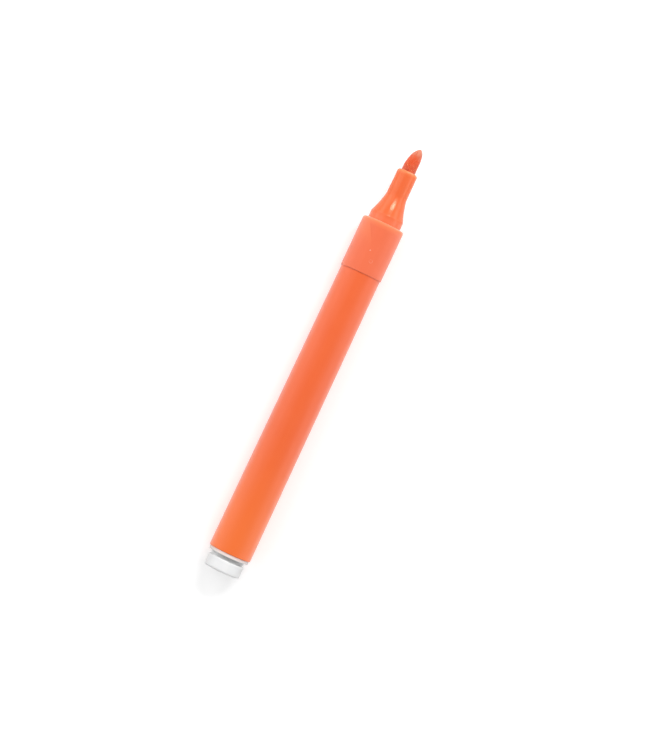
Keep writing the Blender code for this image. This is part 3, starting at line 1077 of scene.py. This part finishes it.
class Lathe:
    """Turns profiles about the marker's axis with one Geometry Nodes tree."""

    def __init__(self) -> None:
        """Builds the tree: a grid whose rows follow the profile and whose columns go round the axis."""
        tree = self.tree = Tree("turned_piece", ("Axis Height",), ("Segments",))
        bench = tree.bench
        profile = tree.input("Geometry")
        count = bench.node("GeometryNodeAttributeDomainSize", None, {0: profile}).outputs["Point Count"]
        columns = tree.number("Segments") + 1.0
        grid = bench.node("GeometryNodeMeshGrid", None, {"Vertices X": count, "Vertices Y": columns})
        index = bench.value("GeometryNodeInputIndex")
        row = math.floor(index / columns)
        angle = (index - row * columns) / tree.number("Segments") * (2 * math.pi)
        position = bench.node("GeometryNodeInputPosition").outputs[0]
        inputs = {"Geometry": profile, "Value": position, "Index": row}
        sampled = bench.node("GeometryNodeSampleIndex", {"data_type": "FLOAT_VECTOR"}, inputs)
        along, radius, _ = bench.parts(sampled.outputs[0])
        height = radius * angle.cosine() + tree.number("Axis Height")
        spot = bench.node("ShaderNodeCombineXYZ", None, {0: along, 1: radius * angle.sine(), 2: height})
        inputs = {"Geometry": grid.outputs["Mesh"], "Position": spot.outputs[0]}
        placed = bench.node("GeometryNodeSetPosition", None, inputs)
        inputs = {"Geometry": placed.outputs[0], "Distance": MERGE_DISTANCE}
        tree.close(bench.node("GeometryNodeMergeByDistance", None, inputs).outputs[0])

    def turn(
        self,
        name: str,
        corners: Sequence[Corner],
        finish: Finish,
        closed: bool = True,
        segments: int = TURN_SEGMENTS,
        height: float = AXIS_Z,
    ) -> Piece:
        """Turns one piece.

        Args:
            name: Name of the piece.
            corners: Place along the axis, radius and rounding of each corner.
            finish: Its surface finish.
            closed: Whether the profile is a closed loop. If not, it starts and ends on the axis.
            segments: Faces round the axis.
            height: Height of the axis that it is turned about.

        Returns:
            The piece.
        """
        mesh = bpy.data.meshes.new(name + "_profile")
        mesh.from_pydata([(x, radius, 0.0) for x, radius in profile_points(corners, closed)], [], [])
        return close_mesh(self.tree.run(name, mesh, finish, {"Segments": segments, "Axis Height": height}))


def fit(piece: Piece, body: Body, slot: Slot, *nodes: str) -> None:
    """Puts a finished piece on its body and logs it.

    Args:
        piece: The piece.
        body: The body that it rides on.
        slot: The record's slot of the piece. Not used.
        nodes: Nodes of the frame that it stands for.
    """
    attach(piece, body.value)
    if nodes:
        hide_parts(*nodes)
    LOG.info("%s: %d faces on %s", piece.name, len(piece.data.polygons), body.value)


@dataclass
class Tank:
    """The barrel and the white plug in its tail."""

    lathe: Lathe
    barrel_finish: Finish
    plug_finish: Finish
    wall: float = 0.0012
    draft: float = 0.00034
    tail_round: float = 0.00022
    front_round: float = 0.00004
    front_creep: float = 0.00014
    even_creep: float = 0.9
    tight_side: float = -22.0
    snap_back: float = 0.00475
    snap_depth: float = 0.00023
    snap_half: float = 0.00085
    plug_joint: float = 0.00002
    lip_thickness: float = 0.00095
    lip_step: float = 0.00064
    lip_round: float = 0.00004
    groove_depth: float = 0.0005
    groove_width: float = 0.00115
    groove_round: float = 0.00012
    shoulder_round: float = 0.0005
    plug_round: float = 0.0007
    plug_floor: float = 0.0016
    spigot_wall: float = 0.0012
    spigot_gap: float = 0.0001
    rib_places: Span = (2 / 3, 1 / 3)
    rib_shape: tuple[Point, ...] = ((1.0, 0.0), (0.5, 1.0), (-0.5, 1.0), (-1.0, 0.0))
    rib_width: float = 0.0008
    rib_height: float = 0.00006
    rib_round: float = 0.00004
    gate_radius: float = 0.0009
    gate_depth: float = 0.00012

    def build(self) -> None:
        """Builds and fits both pieces."""
        self.barrel = Reach.of("barrel")
        self.plug = Reach.of("tail_plug")
        barrel = self.lathe.turn("satin_barrel", self.barrel_profile(), self.barrel_finish)
        self.seat_collar(barrel)
        fit(barrel, Body.MARKER, Slot.BARREL, "barrel")
        plug = self.lathe.turn("white_tail_plug", self.plug_profile(), self.plug_finish, closed=False)
        fit(plug, Body.MARKER, Slot.PLUG, "tail_plug")

    def bore(self, x: float) -> float:
        """Radius of the barrel's bore at a place along the axis."""
        share = (x - self.barrel.rear) / (self.barrel.front - self.barrel.rear)
        return self.barrel.radius - self.draft * share - self.wall

    def barrel_profile(self) -> list[Corner]:
        """Draws the drafted tube, with the groove for the collar's snap bead.

        Returns:
            Its corners.
        """
        rear, front = self.barrel.rear, self.barrel.front
        snap = front - self.snap_back
        outer, inner = snap + 2 * self.snap_half, snap - 2 * self.snap_half
        groove = self.bore(snap) + self.snap_depth
        return [
            (front, self.bore(front), Edge.CRISP),
            (front, self.bore(front) + self.wall, self.front_round),
            (rear, self.barrel.radius, self.tail_round),
            (rear, self.bore(rear), Edge.SOFT),
            (inner, self.bore(inner), Edge.SHARP),
            (snap - self.snap_half, groove, Edge.SOFT),
            (snap + self.snap_half, groove, Edge.SOFT),
            (outer, self.bore(outer), Edge.SHARP),
        ]

    def seat_collar(self, barrel: Piece) -> None:
        """Brings the barrel's front edge closer to the collar, most of all on one side of its top.

        Args:
            barrel: The barrel.
        """
        tight = math.radians(self.tight_side)
        for vertex in barrel.data.vertices:
            if vertex.co.x > self.barrel.front - LONG_RUN:
                turned = math.cos(math.atan2(vertex.co.y, vertex.co.z - AXIS_Z) - tight)
                vertex.co.x += self.front_creep * (self.even_creep + (1 - self.even_creep) * turned)
        barrel.data.update()

    def ribs(self) -> list[Corner]:
        """Draws the two sealing ribs round the plug's spigot, from front to rear.

        Returns:
            Their corners.
        """
        corners = []
        length = self.plug.front - self.barrel.rear
        for share in self.rib_places:
            middle = self.barrel.rear + length * share
            for offset, rise in self.rib_shape:
                x = middle + offset * self.rib_width / 2
                radius = self.bore(x) - self.spigot_gap + rise * self.rib_height
                corners.append((x, radius, self.rib_round))
        return corners

    def plug_profile(self) -> list[Corner]:
        """Draws the plug: hollow spigot, lip, groove and a head with a rounded end and a gate mark.

        Returns:
            Its corners.
        """
        end, front = self.plug.rear, self.plug.front
        lip, head = self.plug.radius, self.plug.radius - self.lip_step
        lip_front = self.barrel.rear - self.plug_joint
        lip_rear = lip_front - self.lip_thickness
        groove_rear = lip_rear - self.groove_width
        groove = head - self.groove_depth
        spigot = self.bore(front) - self.spigot_gap
        floor = end + self.plug_floor
        gate_floor = end + self.gate_depth
        return [
            (floor, 0.0, Edge.SHARP),
            (floor, spigot - self.spigot_wall, Edge.ROUND),
            (front, spigot - self.spigot_wall, Edge.SOFT),
            (front, spigot, Edge.FULL),
            *self.ribs(),
            (lip_front, self.bore(lip_front) - self.spigot_gap, Edge.FINE),
            (lip_front, lip, self.lip_round),
            (lip_rear, lip, Edge.EASED),
            (lip_rear, groove, self.groove_round),
            (groove_rear, groove, self.groove_round),
            (groove_rear, head, self.shoulder_round),
            (end, head, self.plug_round),
            (end, self.gate_radius, Edge.FINE),
            (gate_floor, self.gate_radius - self.gate_depth, Edge.FINE),
            (gate_floor, 0.0, Edge.SHARP),
        ]


@dataclass
class FrontEnd:
    """The collar and the nose that carries the nib."""

    lathe: Lathe
    collar_finish: Finish
    nose_finish: Finish
    joint_gap: float = 0.00015
    front_round: float = 0.0007
    rear_round: float = 0.00008
    recess_depth: float = 0.0003
    recess_radius: float = 0.005135
    recess_round: float = 0.00006
    front_bore: float = 0.00448
    shoulder: float = 0.0095
    spigot_radius: float = 0.004827
    spigot_wall: float = 0.000985
    spigot_length: float = 0.00965
    bead_set_back: float = 0.00475
    bead_height: float = 0.00025
    bead_half: float = 0.0007
    seat_length: float = 0.00235
    seat_round: float = 0.0008
    flare_bend: float = 0.00529
    flare_bend_radius: float = 0.003837
    flare_bend_round: float = 0.031
    flare_length: float = 0.0085
    flare_round: float = 0.004
    tube_rear: float = 0.003155
    tube_front: float = 0.003095
    rim_round: float = 0.0008
    nib_bore: float = 0.002239
    nose_spigot: float = 0.00438
    chamber: float = 0.003284

    def build(self) -> None:
        """Builds and fits both pieces."""
        self.collar = Reach.of("collar")
        self.nose = Reach.of("nose_cone")
        collar = self.lathe.turn("matt_collar", self.collar_profile(), self.collar_finish)
        fit(collar, Body.MARKER, Slot.COLLAR, "collar")
        nose = self.lathe.turn("gloss_nose", self.nose_profile(), self.nose_finish)
        fit(nose, Body.MARKER, Slot.NOSE, "nose_cone")

    def collar_profile(self) -> list[Corner]:
        """Draws the sleeve: a recess for the nose in front and a snap spigot behind.

        Returns:
            Its corners.
        """
        rear, front = self.collar.rear, self.collar.front
        sleeve_rear = rear + self.spigot_length
        bead = sleeve_rear - self.joint_gap - self.bead_set_back
        top = self.spigot_radius + self.bead_height
        floor = front - self.recess_depth
        bay = self.spigot_radius - self.spigot_wall
        shoulder = front - self.shoulder
        return [
            (floor, self.front_bore, Edge.CRISP),
            (floor, self.recess_radius, Edge.CRISP),
            (front, self.recess_radius, self.recess_round),
            (front, self.collar.radius, self.front_round),
            (sleeve_rear, self.collar.radius, self.rear_round),
            (sleeve_rear, self.spigot_radius, Edge.FINE),
            (bead + 2 * self.bead_half, self.spigot_radius, Edge.SOFT),
            (bead + self.bead_half, top, Edge.FULL),
            (bead - self.bead_half, top, Edge.FULL),
            (bead - 2 * self.bead_half, self.spigot_radius, Edge.SOFT),
            (rear, self.spigot_radius, Edge.FULL),
            (rear, bay, Edge.SOFT),
            (shoulder, bay, Edge.FINE),
            (shoulder, self.front_bore, Edge.FINE),
        ]

    def nose_profile(self) -> list[Corner]:
        """Draws the nose: rim, nib tube, flare, cap seat and the spigot inside the collar.

        Returns:
            Its corners.
        """
        rear, front = self.nose.rear, self.nose.front
        ledge = self.collar.front
        seat_rear = ledge - self.recess_depth + self.joint_gap
        seat_front = ledge + self.seat_length
        flare_front = ledge + self.flare_length
        return [
            (front, self.nib_bore, Edge.FINE),
            (front, self.tube_front, self.rim_round),
            (flare_front, self.tube_rear, self.flare_round),
            (ledge + self.flare_bend, self.flare_bend_radius, self.flare_bend_round),
            (seat_front, self.nose.radius, self.seat_round),
            (seat_rear, self.nose.radius, Edge.FINE),
            (seat_rear, self.nose_spigot, Edge.FINE),
            (rear, self.nose_spigot, Edge.SOFT),
            (rear, self.chamber, Edge.FINE),
            (seat_front, self.chamber, Edge.FULL),
            (flare_front, self.nib_bore, Edge.FULL),
        ]


@dataclass(frozen=True)
class Strewing:
    """Small bits of one kind that are strewn over the nib."""

    name: str
    finish: Finish
    lie: Lie
    sides: int
    radius: float
    length: float
    per_mm2: float
    thinning: float
    swing: float
    swing_seed: int
    least_scale: Triple | float
    most_scale: Triple | float
    scale_seed: int

    def tree(self) -> Tree:
        """Builds the tree that strews the bits over the stretch of a nib between From and To.

        Returns:
            The tree.
        """
        tree = Tree(self.name, ("Density", "Thin Out", "From", "To", "Radius", "Length"), ("Seed", "Sides"))
        bench = tree.bench
        along = bench.parts(bench.node("GeometryNodeInputPosition").outputs[0])[0]
        start, end = tree.number("From"), tree.number("To")
        thinner = (along - start) / (end - start) * tree.number("Thin Out")
        inputs = {
            "Mesh": tree.input("Geometry"),
            "Selection": along.above(start) * (1.0 - along.above(end)),
            "Density": tree.number("Density") * (1.0 - thinner),
            "Seed": tree.input("Seed"),
        }
        points = bench.node("GeometryNodeDistributePointsOnFaces", None, inputs)
        heading = self.heading(bench, points.outputs["Normal"])
        turned = bench.node("FunctionNodeAlignRotationToVector", {"axis": "Z"}, {"Vector": heading})
        inputs = {
            "Vertices": tree.input("Sides"),
            "Radius": tree.input("Radius"),
            "Depth": tree.input("Length"),
        }
        bit = bench.node("GeometryNodeMeshCylinder", None, inputs)
        inputs = {
            "Points": points.outputs["Points"],
            "Instance": bit.outputs["Mesh"],
            "Rotation": turned.outputs[0],
            "Scale": bench.random(self.least_scale, self.most_scale, self.scale_seed),
        }
        tree.close(bench.node("GeometryNodeInstanceOnPoints", None, inputs).outputs[0])
        return tree

    def heading(self, bench: NodeBench, normal: Socket) -> Socket:
        """Adds the direction that a bit's length points in.

        Args:
            bench: The bench of the tree.
            normal: The nib's normal under the bit.

        Returns:
            The direction, with a random swing.
        """
        heading = normal
        if self.lie is Lie.ALONG:
            rise = bench.vector_math("DOT_PRODUCT", normal, X_AXIS)
            heading = bench.vector_math("SUBTRACT", X_AXIS, bench.vector_math("SCALE", normal, rise))
        swing = bench.random((-self.swing,) * 3, (self.swing,) * 3, self.swing_seed)
        return bench.vector_math("ADD", heading, swing)


@dataclass
class FibreNib:
    """The leaning nib, its loose fibres and the glitter caught on it."""

    lathe: Lathe
    nib_finish: Finish
    strewings: Sequence[Strewing]
    segments: int = 96
    bullet_length: float = 0.0060
    bullet_power: float = 1.08
    bullet_steps: int = 40
    tip_gap: float = 0.000001
    lean: float = 0.00065
    lean_power: float = 1.5
    relief: float = 0.00003
    relief_per_m: Triple = (600.0, 9000.0, 9000.0)
    smooth_core: float = 0.0001
    exposed: float = 0.0071
    bare_point: float = 0.0012
    seed: int = 7

    def build(self) -> None:
        """Builds and fits the nib and what is strewn over it."""
        self.reach = Reach.of("nib")
        self.bullet = self.reach.front - self.bullet_length
        nib = self.lathe.turn("fibre_nib", self.profile(), self.nib_finish, False, self.segments)
        self.bend(nib)
        fit(nib, Body.NIB, Slot.NIB, "nib")
        for bits in self.strewings:
            fit(self.strew(bits, nib), Body.NIB, Slot.NIB)

    def profile(self) -> list[Corner]:
        """Draws a straight rod with a bullet point, before it leans.

        Returns:
            Its corners.
        """
        corners = [(self.reach.front - self.tip_gap, 0.0, Edge.SHARP)]
        for step in range(1, self.bullet_steps + 1):
            angle = math.pi / 2 * step / self.bullet_steps
            x = self.bullet + self.bullet_length * math.cos(angle)
            corners.append((x, self.reach.radius * math.sin(angle) ** self.bullet_power, Edge.SHARP))
        corners.append((self.reach.rear, self.reach.radius, Edge.SOFT))
        corners.append((self.reach.rear, 0.0, Edge.SHARP))
        return corners

    def bend(self, nib: Piece) -> None:
        """Leans the bullet and gives its surface the relief of bundled fibres.

        Args:
            nib: The straight nib.
        """
        for vertex in nib.data.vertices:
            spot = vertex.co
            out = Vector((0.0, spot.y, spot.z - AXIS_Z))
            if out.length > self.smooth_core:
                wave = noise.noise(spot * Vector(self.relief_per_m))
                spot -= out.normalized() * (self.relief * (0.5 + 0.5 * wave))
            share = max(0.0, (spot.x - self.bullet) / self.bullet_length)
            spot.y -= self.lean * share**self.lean_power
            vertex.co = spot
        nib.data.update()

    def strew(self, bits: Strewing, nib: Piece) -> Piece:
        """Strews one kind of bits over the part of the nib that shows.

        Args:
            bits: The bits.
            nib: The leaning nib.

        Returns:
            The bits as one object.
        """
        values = {
            "Density": bits.per_mm2 * MILLIMETRES**2,
            "Thin Out": bits.thinning,
            "From": self.reach.front - self.exposed,
            "To": self.reach.front - self.bare_point,
            "Radius": bits.radius,
            "Length": bits.length,
            "Sides": bits.sides,
            "Seed": self.seed,
        }
        return bits.tree().run(bits.name, nib.data.copy(), bits.finish, values)


@dataclass
class InkValve:
    """The sprung valve behind the nib: housing, plunger, washer, spring and the ring behind it."""

    lathe: Lathe
    plastic_finish: Finish
    rubber_finish: Finish
    spring_finish: Finish
    flange_radius: float = 0.00438
    flange_thickness: float = 0.0012
    seat_wall: float = 0.0024
    boss_height: float = 0.0008
    boss_radius: float = 0.00199
    seat_hole: float = 0.00129
    cage_radius: float = 0.00374
    cage_bore: float = 0.00295
    shaft_radius: float = 0.0009
    cup_bore: float = 0.00219
    cup_depth: float = 0.0020
    cup_floor: float = 0.0008
    head_radius: float = 0.00255
    head_thickness: float = 0.0008
    pilot_radius: float = 0.00176
    pilot_length: float = 0.0022
    washer_bore: float = 0.000995
    washer_round: float = 0.00025
    washer_bore_round: float = 0.00012
    ring_thickness: float = 0.0014
    ring_hole: float = 0.0008
    spring_wire: float = 0.0004
    spring_turns: int = 6
    spring_points: int = 32
    wire_sides: int = 12
    pressed_share: float = 5 / 7

    def build(self) -> None:
        """Builds and fits the valve's pieces."""
        housing = self.lathe.turn("valve_housing", self.housing_profile(), self.plastic_finish)
        fit(housing, Body.MARKER, Slot.VALVE, "valve_body")
        stem = self.lathe.turn("valve_plunger_stem", self.stem_profile(), self.plastic_finish, closed=False)
        fit(stem, Body.PLUNGER, Slot.VALVE, "valve_stem")
        washer = self.lathe.turn("valve_washer", self.washer_profile(), self.rubber_finish)
        fit(washer, Body.PLUNGER, Slot.SEAL, "valve_seal")
        ring = self.lathe.turn("spring_ring", self.ring_profile(), self.plastic_finish)
        fit(ring, Body.MARKER, Slot.VALVE, "spring_retainer")
        spring = self.wind_spring()
        fit(spring, Body.MARKER, Slot.SPRING, "valve_spring")
        rear = Reach.of("valve_spring").rear
        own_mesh(spring)

    def housing_profile(self) -> list[Corner]:
        """Draws the housing: boss, clamped flange, spring cage and valve seat.

        Returns:
            Its corners.
        """
        reach = Reach.of("valve_body")
        flange = reach.front - self.boss_height
        flange_rear = flange - self.flange_thickness
        seat = flange - self.seat_wall
        return [
            (reach.front, self.seat_hole, Edge.FINE),
            (reach.front, self.boss_radius, Edge.EASED),
            (flange, self.boss_radius, Edge.FINE),
            (flange, self.flange_radius, Edge.EASED),
            (flange_rear, self.flange_radius, Edge.EASED),
            (flange_rear, self.cage_radius, Edge.FINE),
            (reach.rear, self.cage_radius, Edge.FULL),
            (reach.rear, self.cage_bore, Edge.SOFT),
            (seat, self.cage_bore, Edge.SOFT),
            (seat, self.seat_hole, Edge.FINE),
        ]

    def stem_profile(self) -> list[Corner]:
        """Draws the plunger: nib cup, shaft, head and the pilot inside the spring.

        Returns:
            Its corners.
        """
        reach = Reach.of("valve_stem")
        cup_seat = reach.front - self.cup_depth
        cup_rear = cup_seat - self.cup_floor
        head_rear = reach.rear + self.pilot_length
        head_front = head_rear + self.head_thickness
        return [
            (cup_seat, 0.0, Edge.SHARP),
            (cup_seat, self.cup_bore, Edge.FINE),
            (reach.front, self.cup_bore, Edge.FINE),
            (reach.front, reach.radius, Edge.SOFT),
            (cup_rear, reach.radius, Edge.SOFT),
            (cup_rear, self.shaft_radius, Edge.SOFT),
            (head_front, self.shaft_radius, Edge.EASED),
            (head_front, self.head_radius, Edge.EASED),
            (head_rear, self.head_radius, Edge.EASED),
            (head_rear, self.pilot_radius, Edge.EASED),
            (reach.rear, self.pilot_radius, Edge.ROUND),
            (reach.rear, 0.0, Edge.SHARP),
        ]

    def washer_profile(self) -> list[Corner]:
        """Draws the rubber washer, with soft edges.

        Returns:
            Its corners.
        """
        reach = Reach.of("valve_seal")
        return [
            (reach.front, self.washer_bore, self.washer_bore_round),
            (reach.front, reach.radius, self.washer_round),
            (reach.rear, reach.radius, self.washer_round),
            (reach.rear, self.washer_bore, self.washer_bore_round),
        ]

    def ring_profile(self) -> list[Corner]:
        """Draws the ring that closes the cage, with its pilot and ink hole.

        Returns:
            Its corners.
        """
        reach = Reach.of("spring_retainer")
        face = reach.rear + self.ring_thickness
        return [
            (reach.front, self.ring_hole, Edge.EASED),
            (reach.front, self.pilot_radius, Edge.FULL),
            (face, self.pilot_radius, Edge.FINE),
            (face, reach.radius, Edge.EASED),
            (reach.rear, reach.radius, Edge.EASED),
            (reach.rear, self.ring_hole, Edge.EASED),
        ]

    def wind_spring(self) -> Piece:
        """Winds the spring's wire along a helix.

        Returns:
            The spring.
        """
        reach = Reach.of("valve_spring")
        numbers = ("Turns", "Steps", "Rear", "Rise", "Coil Radius", "Wire Radius", "Axis Height")
        tree = Tree("wound_spring", numbers, ("Wire Sides",))
        bench = tree.bench
        steps = tree.number("Turns") * tree.number("Steps")
        line = bench.node("GeometryNodeMeshLine", None, {"Count": steps + 1.0})
        curve = bench.node("GeometryNodeMeshToCurve", None, {0: line.outputs[0]})
        index = bench.value("GeometryNodeInputIndex")
        angle = index / tree.number("Steps") * (2 * math.pi)
        along = tree.number("Rear") + tree.number("Rise") * index / steps
        coil = tree.number("Coil Radius")
        height = tree.number("Axis Height") - coil * angle.cosine()
        spot = bench.node("ShaderNodeCombineXYZ", None, {0: along, 1: coil * angle.sine(), 2: height})
        inputs = {"Geometry": curve.outputs[0], "Position": spot.outputs[0]}
        helix = bench.node("GeometryNodeSetPosition", None, inputs)
        inputs = {"Resolution": tree.input("Wire Sides"), "Radius": tree.input("Wire Radius")}
        section = bench.node("GeometryNodeCurvePrimitiveCircle", None, inputs)
        inputs = {"Curve": helix.outputs[0], "Profile Curve": section.outputs[0], "Fill Caps": True}
        tree.close(bench.node("GeometryNodeCurveToMesh", None, inputs).outputs[0])
        wire = self.spring_wire / 2
        values = {
            "Turns": float(self.spring_turns),
            "Steps": float(self.spring_points),
            "Rear": reach.rear + wire,
            "Rise": reach.front - reach.rear - self.spring_wire,
            "Coil Radius": reach.radius - wire,
            "Wire Radius": wire,
            "Axis Height": AXIS_Z,
            "Wire Sides": self.wire_sides,
        }
        start = bpy.data.meshes.new("spring_start")
        return close_mesh(tree.run("coil_spring", start, self.spring_finish, values))


@dataclass
class StirringBall:
    """The steel ball that stirs the glitter in the tank."""

    lathe: Lathe
    finish: Finish
    steps: int = 48
    segments: int = 96

    def build(self) -> None:
        """Turns the ball about its own level axis and fits it."""
        low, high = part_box("mixing_ball")
        centre = (low + high) / 2
        radius = (high.x - low.x) / 2
        angles = (math.pi * step / self.steps for step in range(self.steps + 1))
        corners = [
            (centre.x + radius * math.cos(angle), radius * math.sin(angle), Edge.SHARP) for angle in angles
        ]
        ball = self.lathe.turn("stirring_ball", corners, self.finish, False, self.segments, centre.z)
        fit(ball, Body.BALL, Slot.BALL, "mixing_ball")


@dataclass(frozen=True)
class Softbox:
    """A soft lamp that faces the marker."""

    name: str
    lean: float
    heading: float
    distance: float
    width: float
    length: float
    level: float
    spin: float = 0.0

    def hang(self) -> None:
        """Adds the lamp. Its level is how bright it alone would make a white face turned to it."""
        lamp = bpy.data.lights.new(self.name, "AREA")
        lamp.shape = "ELLIPSE"
        lamp.size = self.width
        lamp.size_y = self.length
        lamp.energy = self.level * (math.pi * self.distance) ** 2
        lean, heading = math.radians(self.lean), math.radians(self.heading)
        side = math.sin(lean)
        away = Vector((side * math.cos(heading), side * math.sin(heading), math.cos(lean)))
        facing = away.to_track_quat("Z", "X")
        obj = bpy.data.objects.new(self.name, lamp)
        obj.location = away * self.distance + Vector((0.0, 0.0, AXIS_Z))
        obj.rotation_mode = "QUATERNION"
        obj.rotation_quaternion = facing @ Quaternion((0.0, 0.0, 1.0), math.radians(self.spin))
        obj.visible_camera = False
        bpy.context.scene.collection.objects.link(obj)


@dataclass
class Studio:
    """White table, lamps, surroundings and the camera above the marker."""

    table_finish: Finish
    softboxes: Sequence[Softbox]
    ceiling: float = 0.3
    walls: float = 0.6
    table_half: float = 3.0
    table_gap: float = 0.000005
    camera_height: float = 0.8
    turn: float = -64.92
    image_long: float = 0.2175
    sensor: float = 36.0
    nearest: float = 0.01
    farthest: float = 10.0
    marker_right: float = -0.00142
    marker_up: float = 0.00435

    def build(self) -> None:
        """Sets the table, the light and the camera."""
        self.lay_table()
        for softbox in self.softboxes:
            softbox.hang()
        self.light_surroundings()
        self.set_camera()
        bpy.context.scene.view_settings.view_transform = "Standard"

    def lay_table(self) -> None:
        """Adds the table top just under the marker."""
        half, top = self.table_half, -self.table_gap
        mesh = bpy.data.meshes.new("table")
        corners = [(-half, -half, top), (half, -half, top), (half, half, top), (-half, half, top)]
        mesh.from_pydata(corners, [], [(0, 1, 2, 3)])
        mesh.materials.append(self.table_finish.material())
        make_object("table", mesh)

    def light_surroundings(self) -> None:
        """Lights a room with white walls and a dim ceiling, the same for every ray."""
        world = bpy.data.worlds.new("white_room")
        world.use_nodes = True
        world.node_tree.nodes.clear()
        bench = NodeBench(world.node_tree)
        rise = bench.parts(bench.node("ShaderNodeTexCoord").outputs["Generated"])[2]
        strength = self.ceiling + rise.eased(1.0, 0.0) * (self.walls - self.ceiling)
        background = bench.node("ShaderNodeBackground", None, {"Color": WHITE, "Strength": strength})
        bench.node("ShaderNodeOutputWorld", None, {"Surface": background.outputs[0]})
        bpy.context.scene.world = world

    def set_camera(self) -> None:
        """Puts the camera straight above, turned so that the marker lies as in the picture."""
        data = bpy.data.cameras.new("portrait")
        data.sensor_width = self.sensor
        data.lens = self.sensor * self.camera_height / self.image_long
        data.clip_start, data.clip_end = self.nearest, self.farthest
        camera = bpy.data.objects.new("portrait", data)
        spin = Matrix.Rotation(math.radians(self.turn), 3, "Z")
        offset = spin @ Vector((-self.marker_right, -self.marker_up, 0.0))
        camera.location = offset + Vector((0.0, 0.0, AXIS_Z + self.camera_height))
        camera.rotation_euler = (0.0, 0.0, math.radians(self.turn))
        bpy.context.scene.collection.objects.link(camera)
        bpy.context.scene.camera = camera


SATIN_ORANGE = BarrelPlastic(
    "satin_orange_plastic",
    (0.87, 0.122, 0.018),
    0.42,
    flow_colour=(0.88, 0.13, 0.022),
    tail_colour=(0.94, 0.167, 0.021),
    haze=0.5,
)
MATT_ORANGE = CollarPlastic(
    "matt_orange_plastic",
    (0.875, 0.146, 0.047),
    0.55,
    flow_colour=(0.885, 0.154, 0.053),
    fleck_colour=(0.95, 0.5, 0.38),
    # Colour of the painted highlight and the painted reflection.
    highlight_colour=(0.96, 0.23, 0.075),
    grain_height=0.000004,
    haze=0.5,
)
GLOSS_ORANGE = NosePlastic(
    "gloss_orange_plastic",
    (0.862, 0.15, 0.046),
    0.17,
    flow_colour=(0.872, 0.16, 0.05),
    # Colour of the painted highlight on the rim.
    rim_highlight_colour=(0.93, 0.25, 0.09),
    grain_height=0.0000001,
    ripple_height=0.0000005,
    gloss_swing=0.04,
)
FROSTED_WHITE = WhitePlastic(
    "frosted_white_plastic", (0.91, 0.912, 0.915), 0.36, flow_colour=(0.93, 0.93, 0.93)
)
NATURAL_PLASTIC = MouldedPlastic(
    "natural_plastic", (0.78, 0.78, 0.75), 0.4, flow_colour=(0.82, 0.81, 0.77)
)
SOAKED_FIBRE = FibreFinish("soaked_fibre", (0.79, 0.09, 0.0155), 0.8)
LOOSE_FIBRE = StrandFinish("loose_fibre", (0.78, 0.09, 0.028), 0.7, pale_colour=(0.88, 0.2, 0.1))
GLITTER_FOIL = GlitterFinish("glitter_foil", (0.5, 0.17, 0.06), 0.25, second_colour=(0.95, 0.6, 0.25))
BLACK_RUBBER = RubberFinish("black_rubber", (0.025, 0.025, 0.025), 0.65)
DRAWN_STEEL = SteelFinish("drawn_steel", (0.6, 0.6, 0.61), 0.3)
POLISHED_STEEL = SteelFinish("polished_steel", (0.66, 0.66, 0.67), 0.12, scratch_per_mm=(4.0, 4.0, 4.0))
WHITE_TABLE = TableFinish("white_table", (0.93, 0.93, 0.93), 0.6, second_colour=(0.9207, 0.9207, 0.9207))

FIBRES = Strewing(
    "nib_fibres",
    LOOSE_FIBRE,
    Lie.ALONG,
    sides=5,
    radius=0.00003,
    length=0.0008,
    per_mm2=7.0,
    thinning=0.0,
    swing=0.12,
    swing_seed=3,
    least_scale=(0.6, 0.6, 0.4),
    most_scale=(1.0, 1.0, 1.3),
    scale_seed=5,
)
GLITTER = Strewing(
    "nib_glitter",
    GLITTER_FOIL,
    Lie.FLAT,
    sides=6,
    radius=0.00013,
    length=0.00002,
    per_mm2=3.2,
    thinning=0.8,
    swing=0.4,
    swing_seed=11,
    least_scale=0.45,
    most_scale=1.0,
    scale_seed=13,
)

SOFTBOXES = (
    Softbox("nib_side_key", 39.6, -11.0, distance=1.1, width=0.17, length=0.58, level=0.41, spin=9.3),
    Softbox("front_left", 40.0, 60.0, distance=1.1, width=0.8, length=0.9, level=0.19),
    Softbox("front_right", 40.0, -60.0, distance=1.1, width=0.8, length=0.9, level=0.05),
    Softbox("left_strip", 68.0, 66.0, distance=1.0, width=0.5, length=1.4, level=0.34),
    Softbox("right_strip", 68.0, -66.0, distance=1.0, width=0.5, length=1.4, level=0.34),
)


def main() -> None:
    """Builds the marker from tail to nib, then the studio round it."""
    logging.basicConfig(level=logging.INFO, format="%(name)s: %(message)s")
    lathe = Lathe()
    Tank(lathe, SATIN_ORANGE, FROSTED_WHITE).build()
    FrontEnd(lathe, MATT_ORANGE, GLOSS_ORANGE).build()
    FibreNib(lathe, SOAKED_FIBRE, (FIBRES, GLITTER)).build()
    InkValve(lathe, NATURAL_PLASTIC, BLACK_RUBBER, DRAWN_STEEL).build()
    StirringBall(lathe, POLISHED_STEEL).build()
    Studio(WHITE_TABLE, SOFTBOXES).build()


if __name__ == "__main__":
    main()
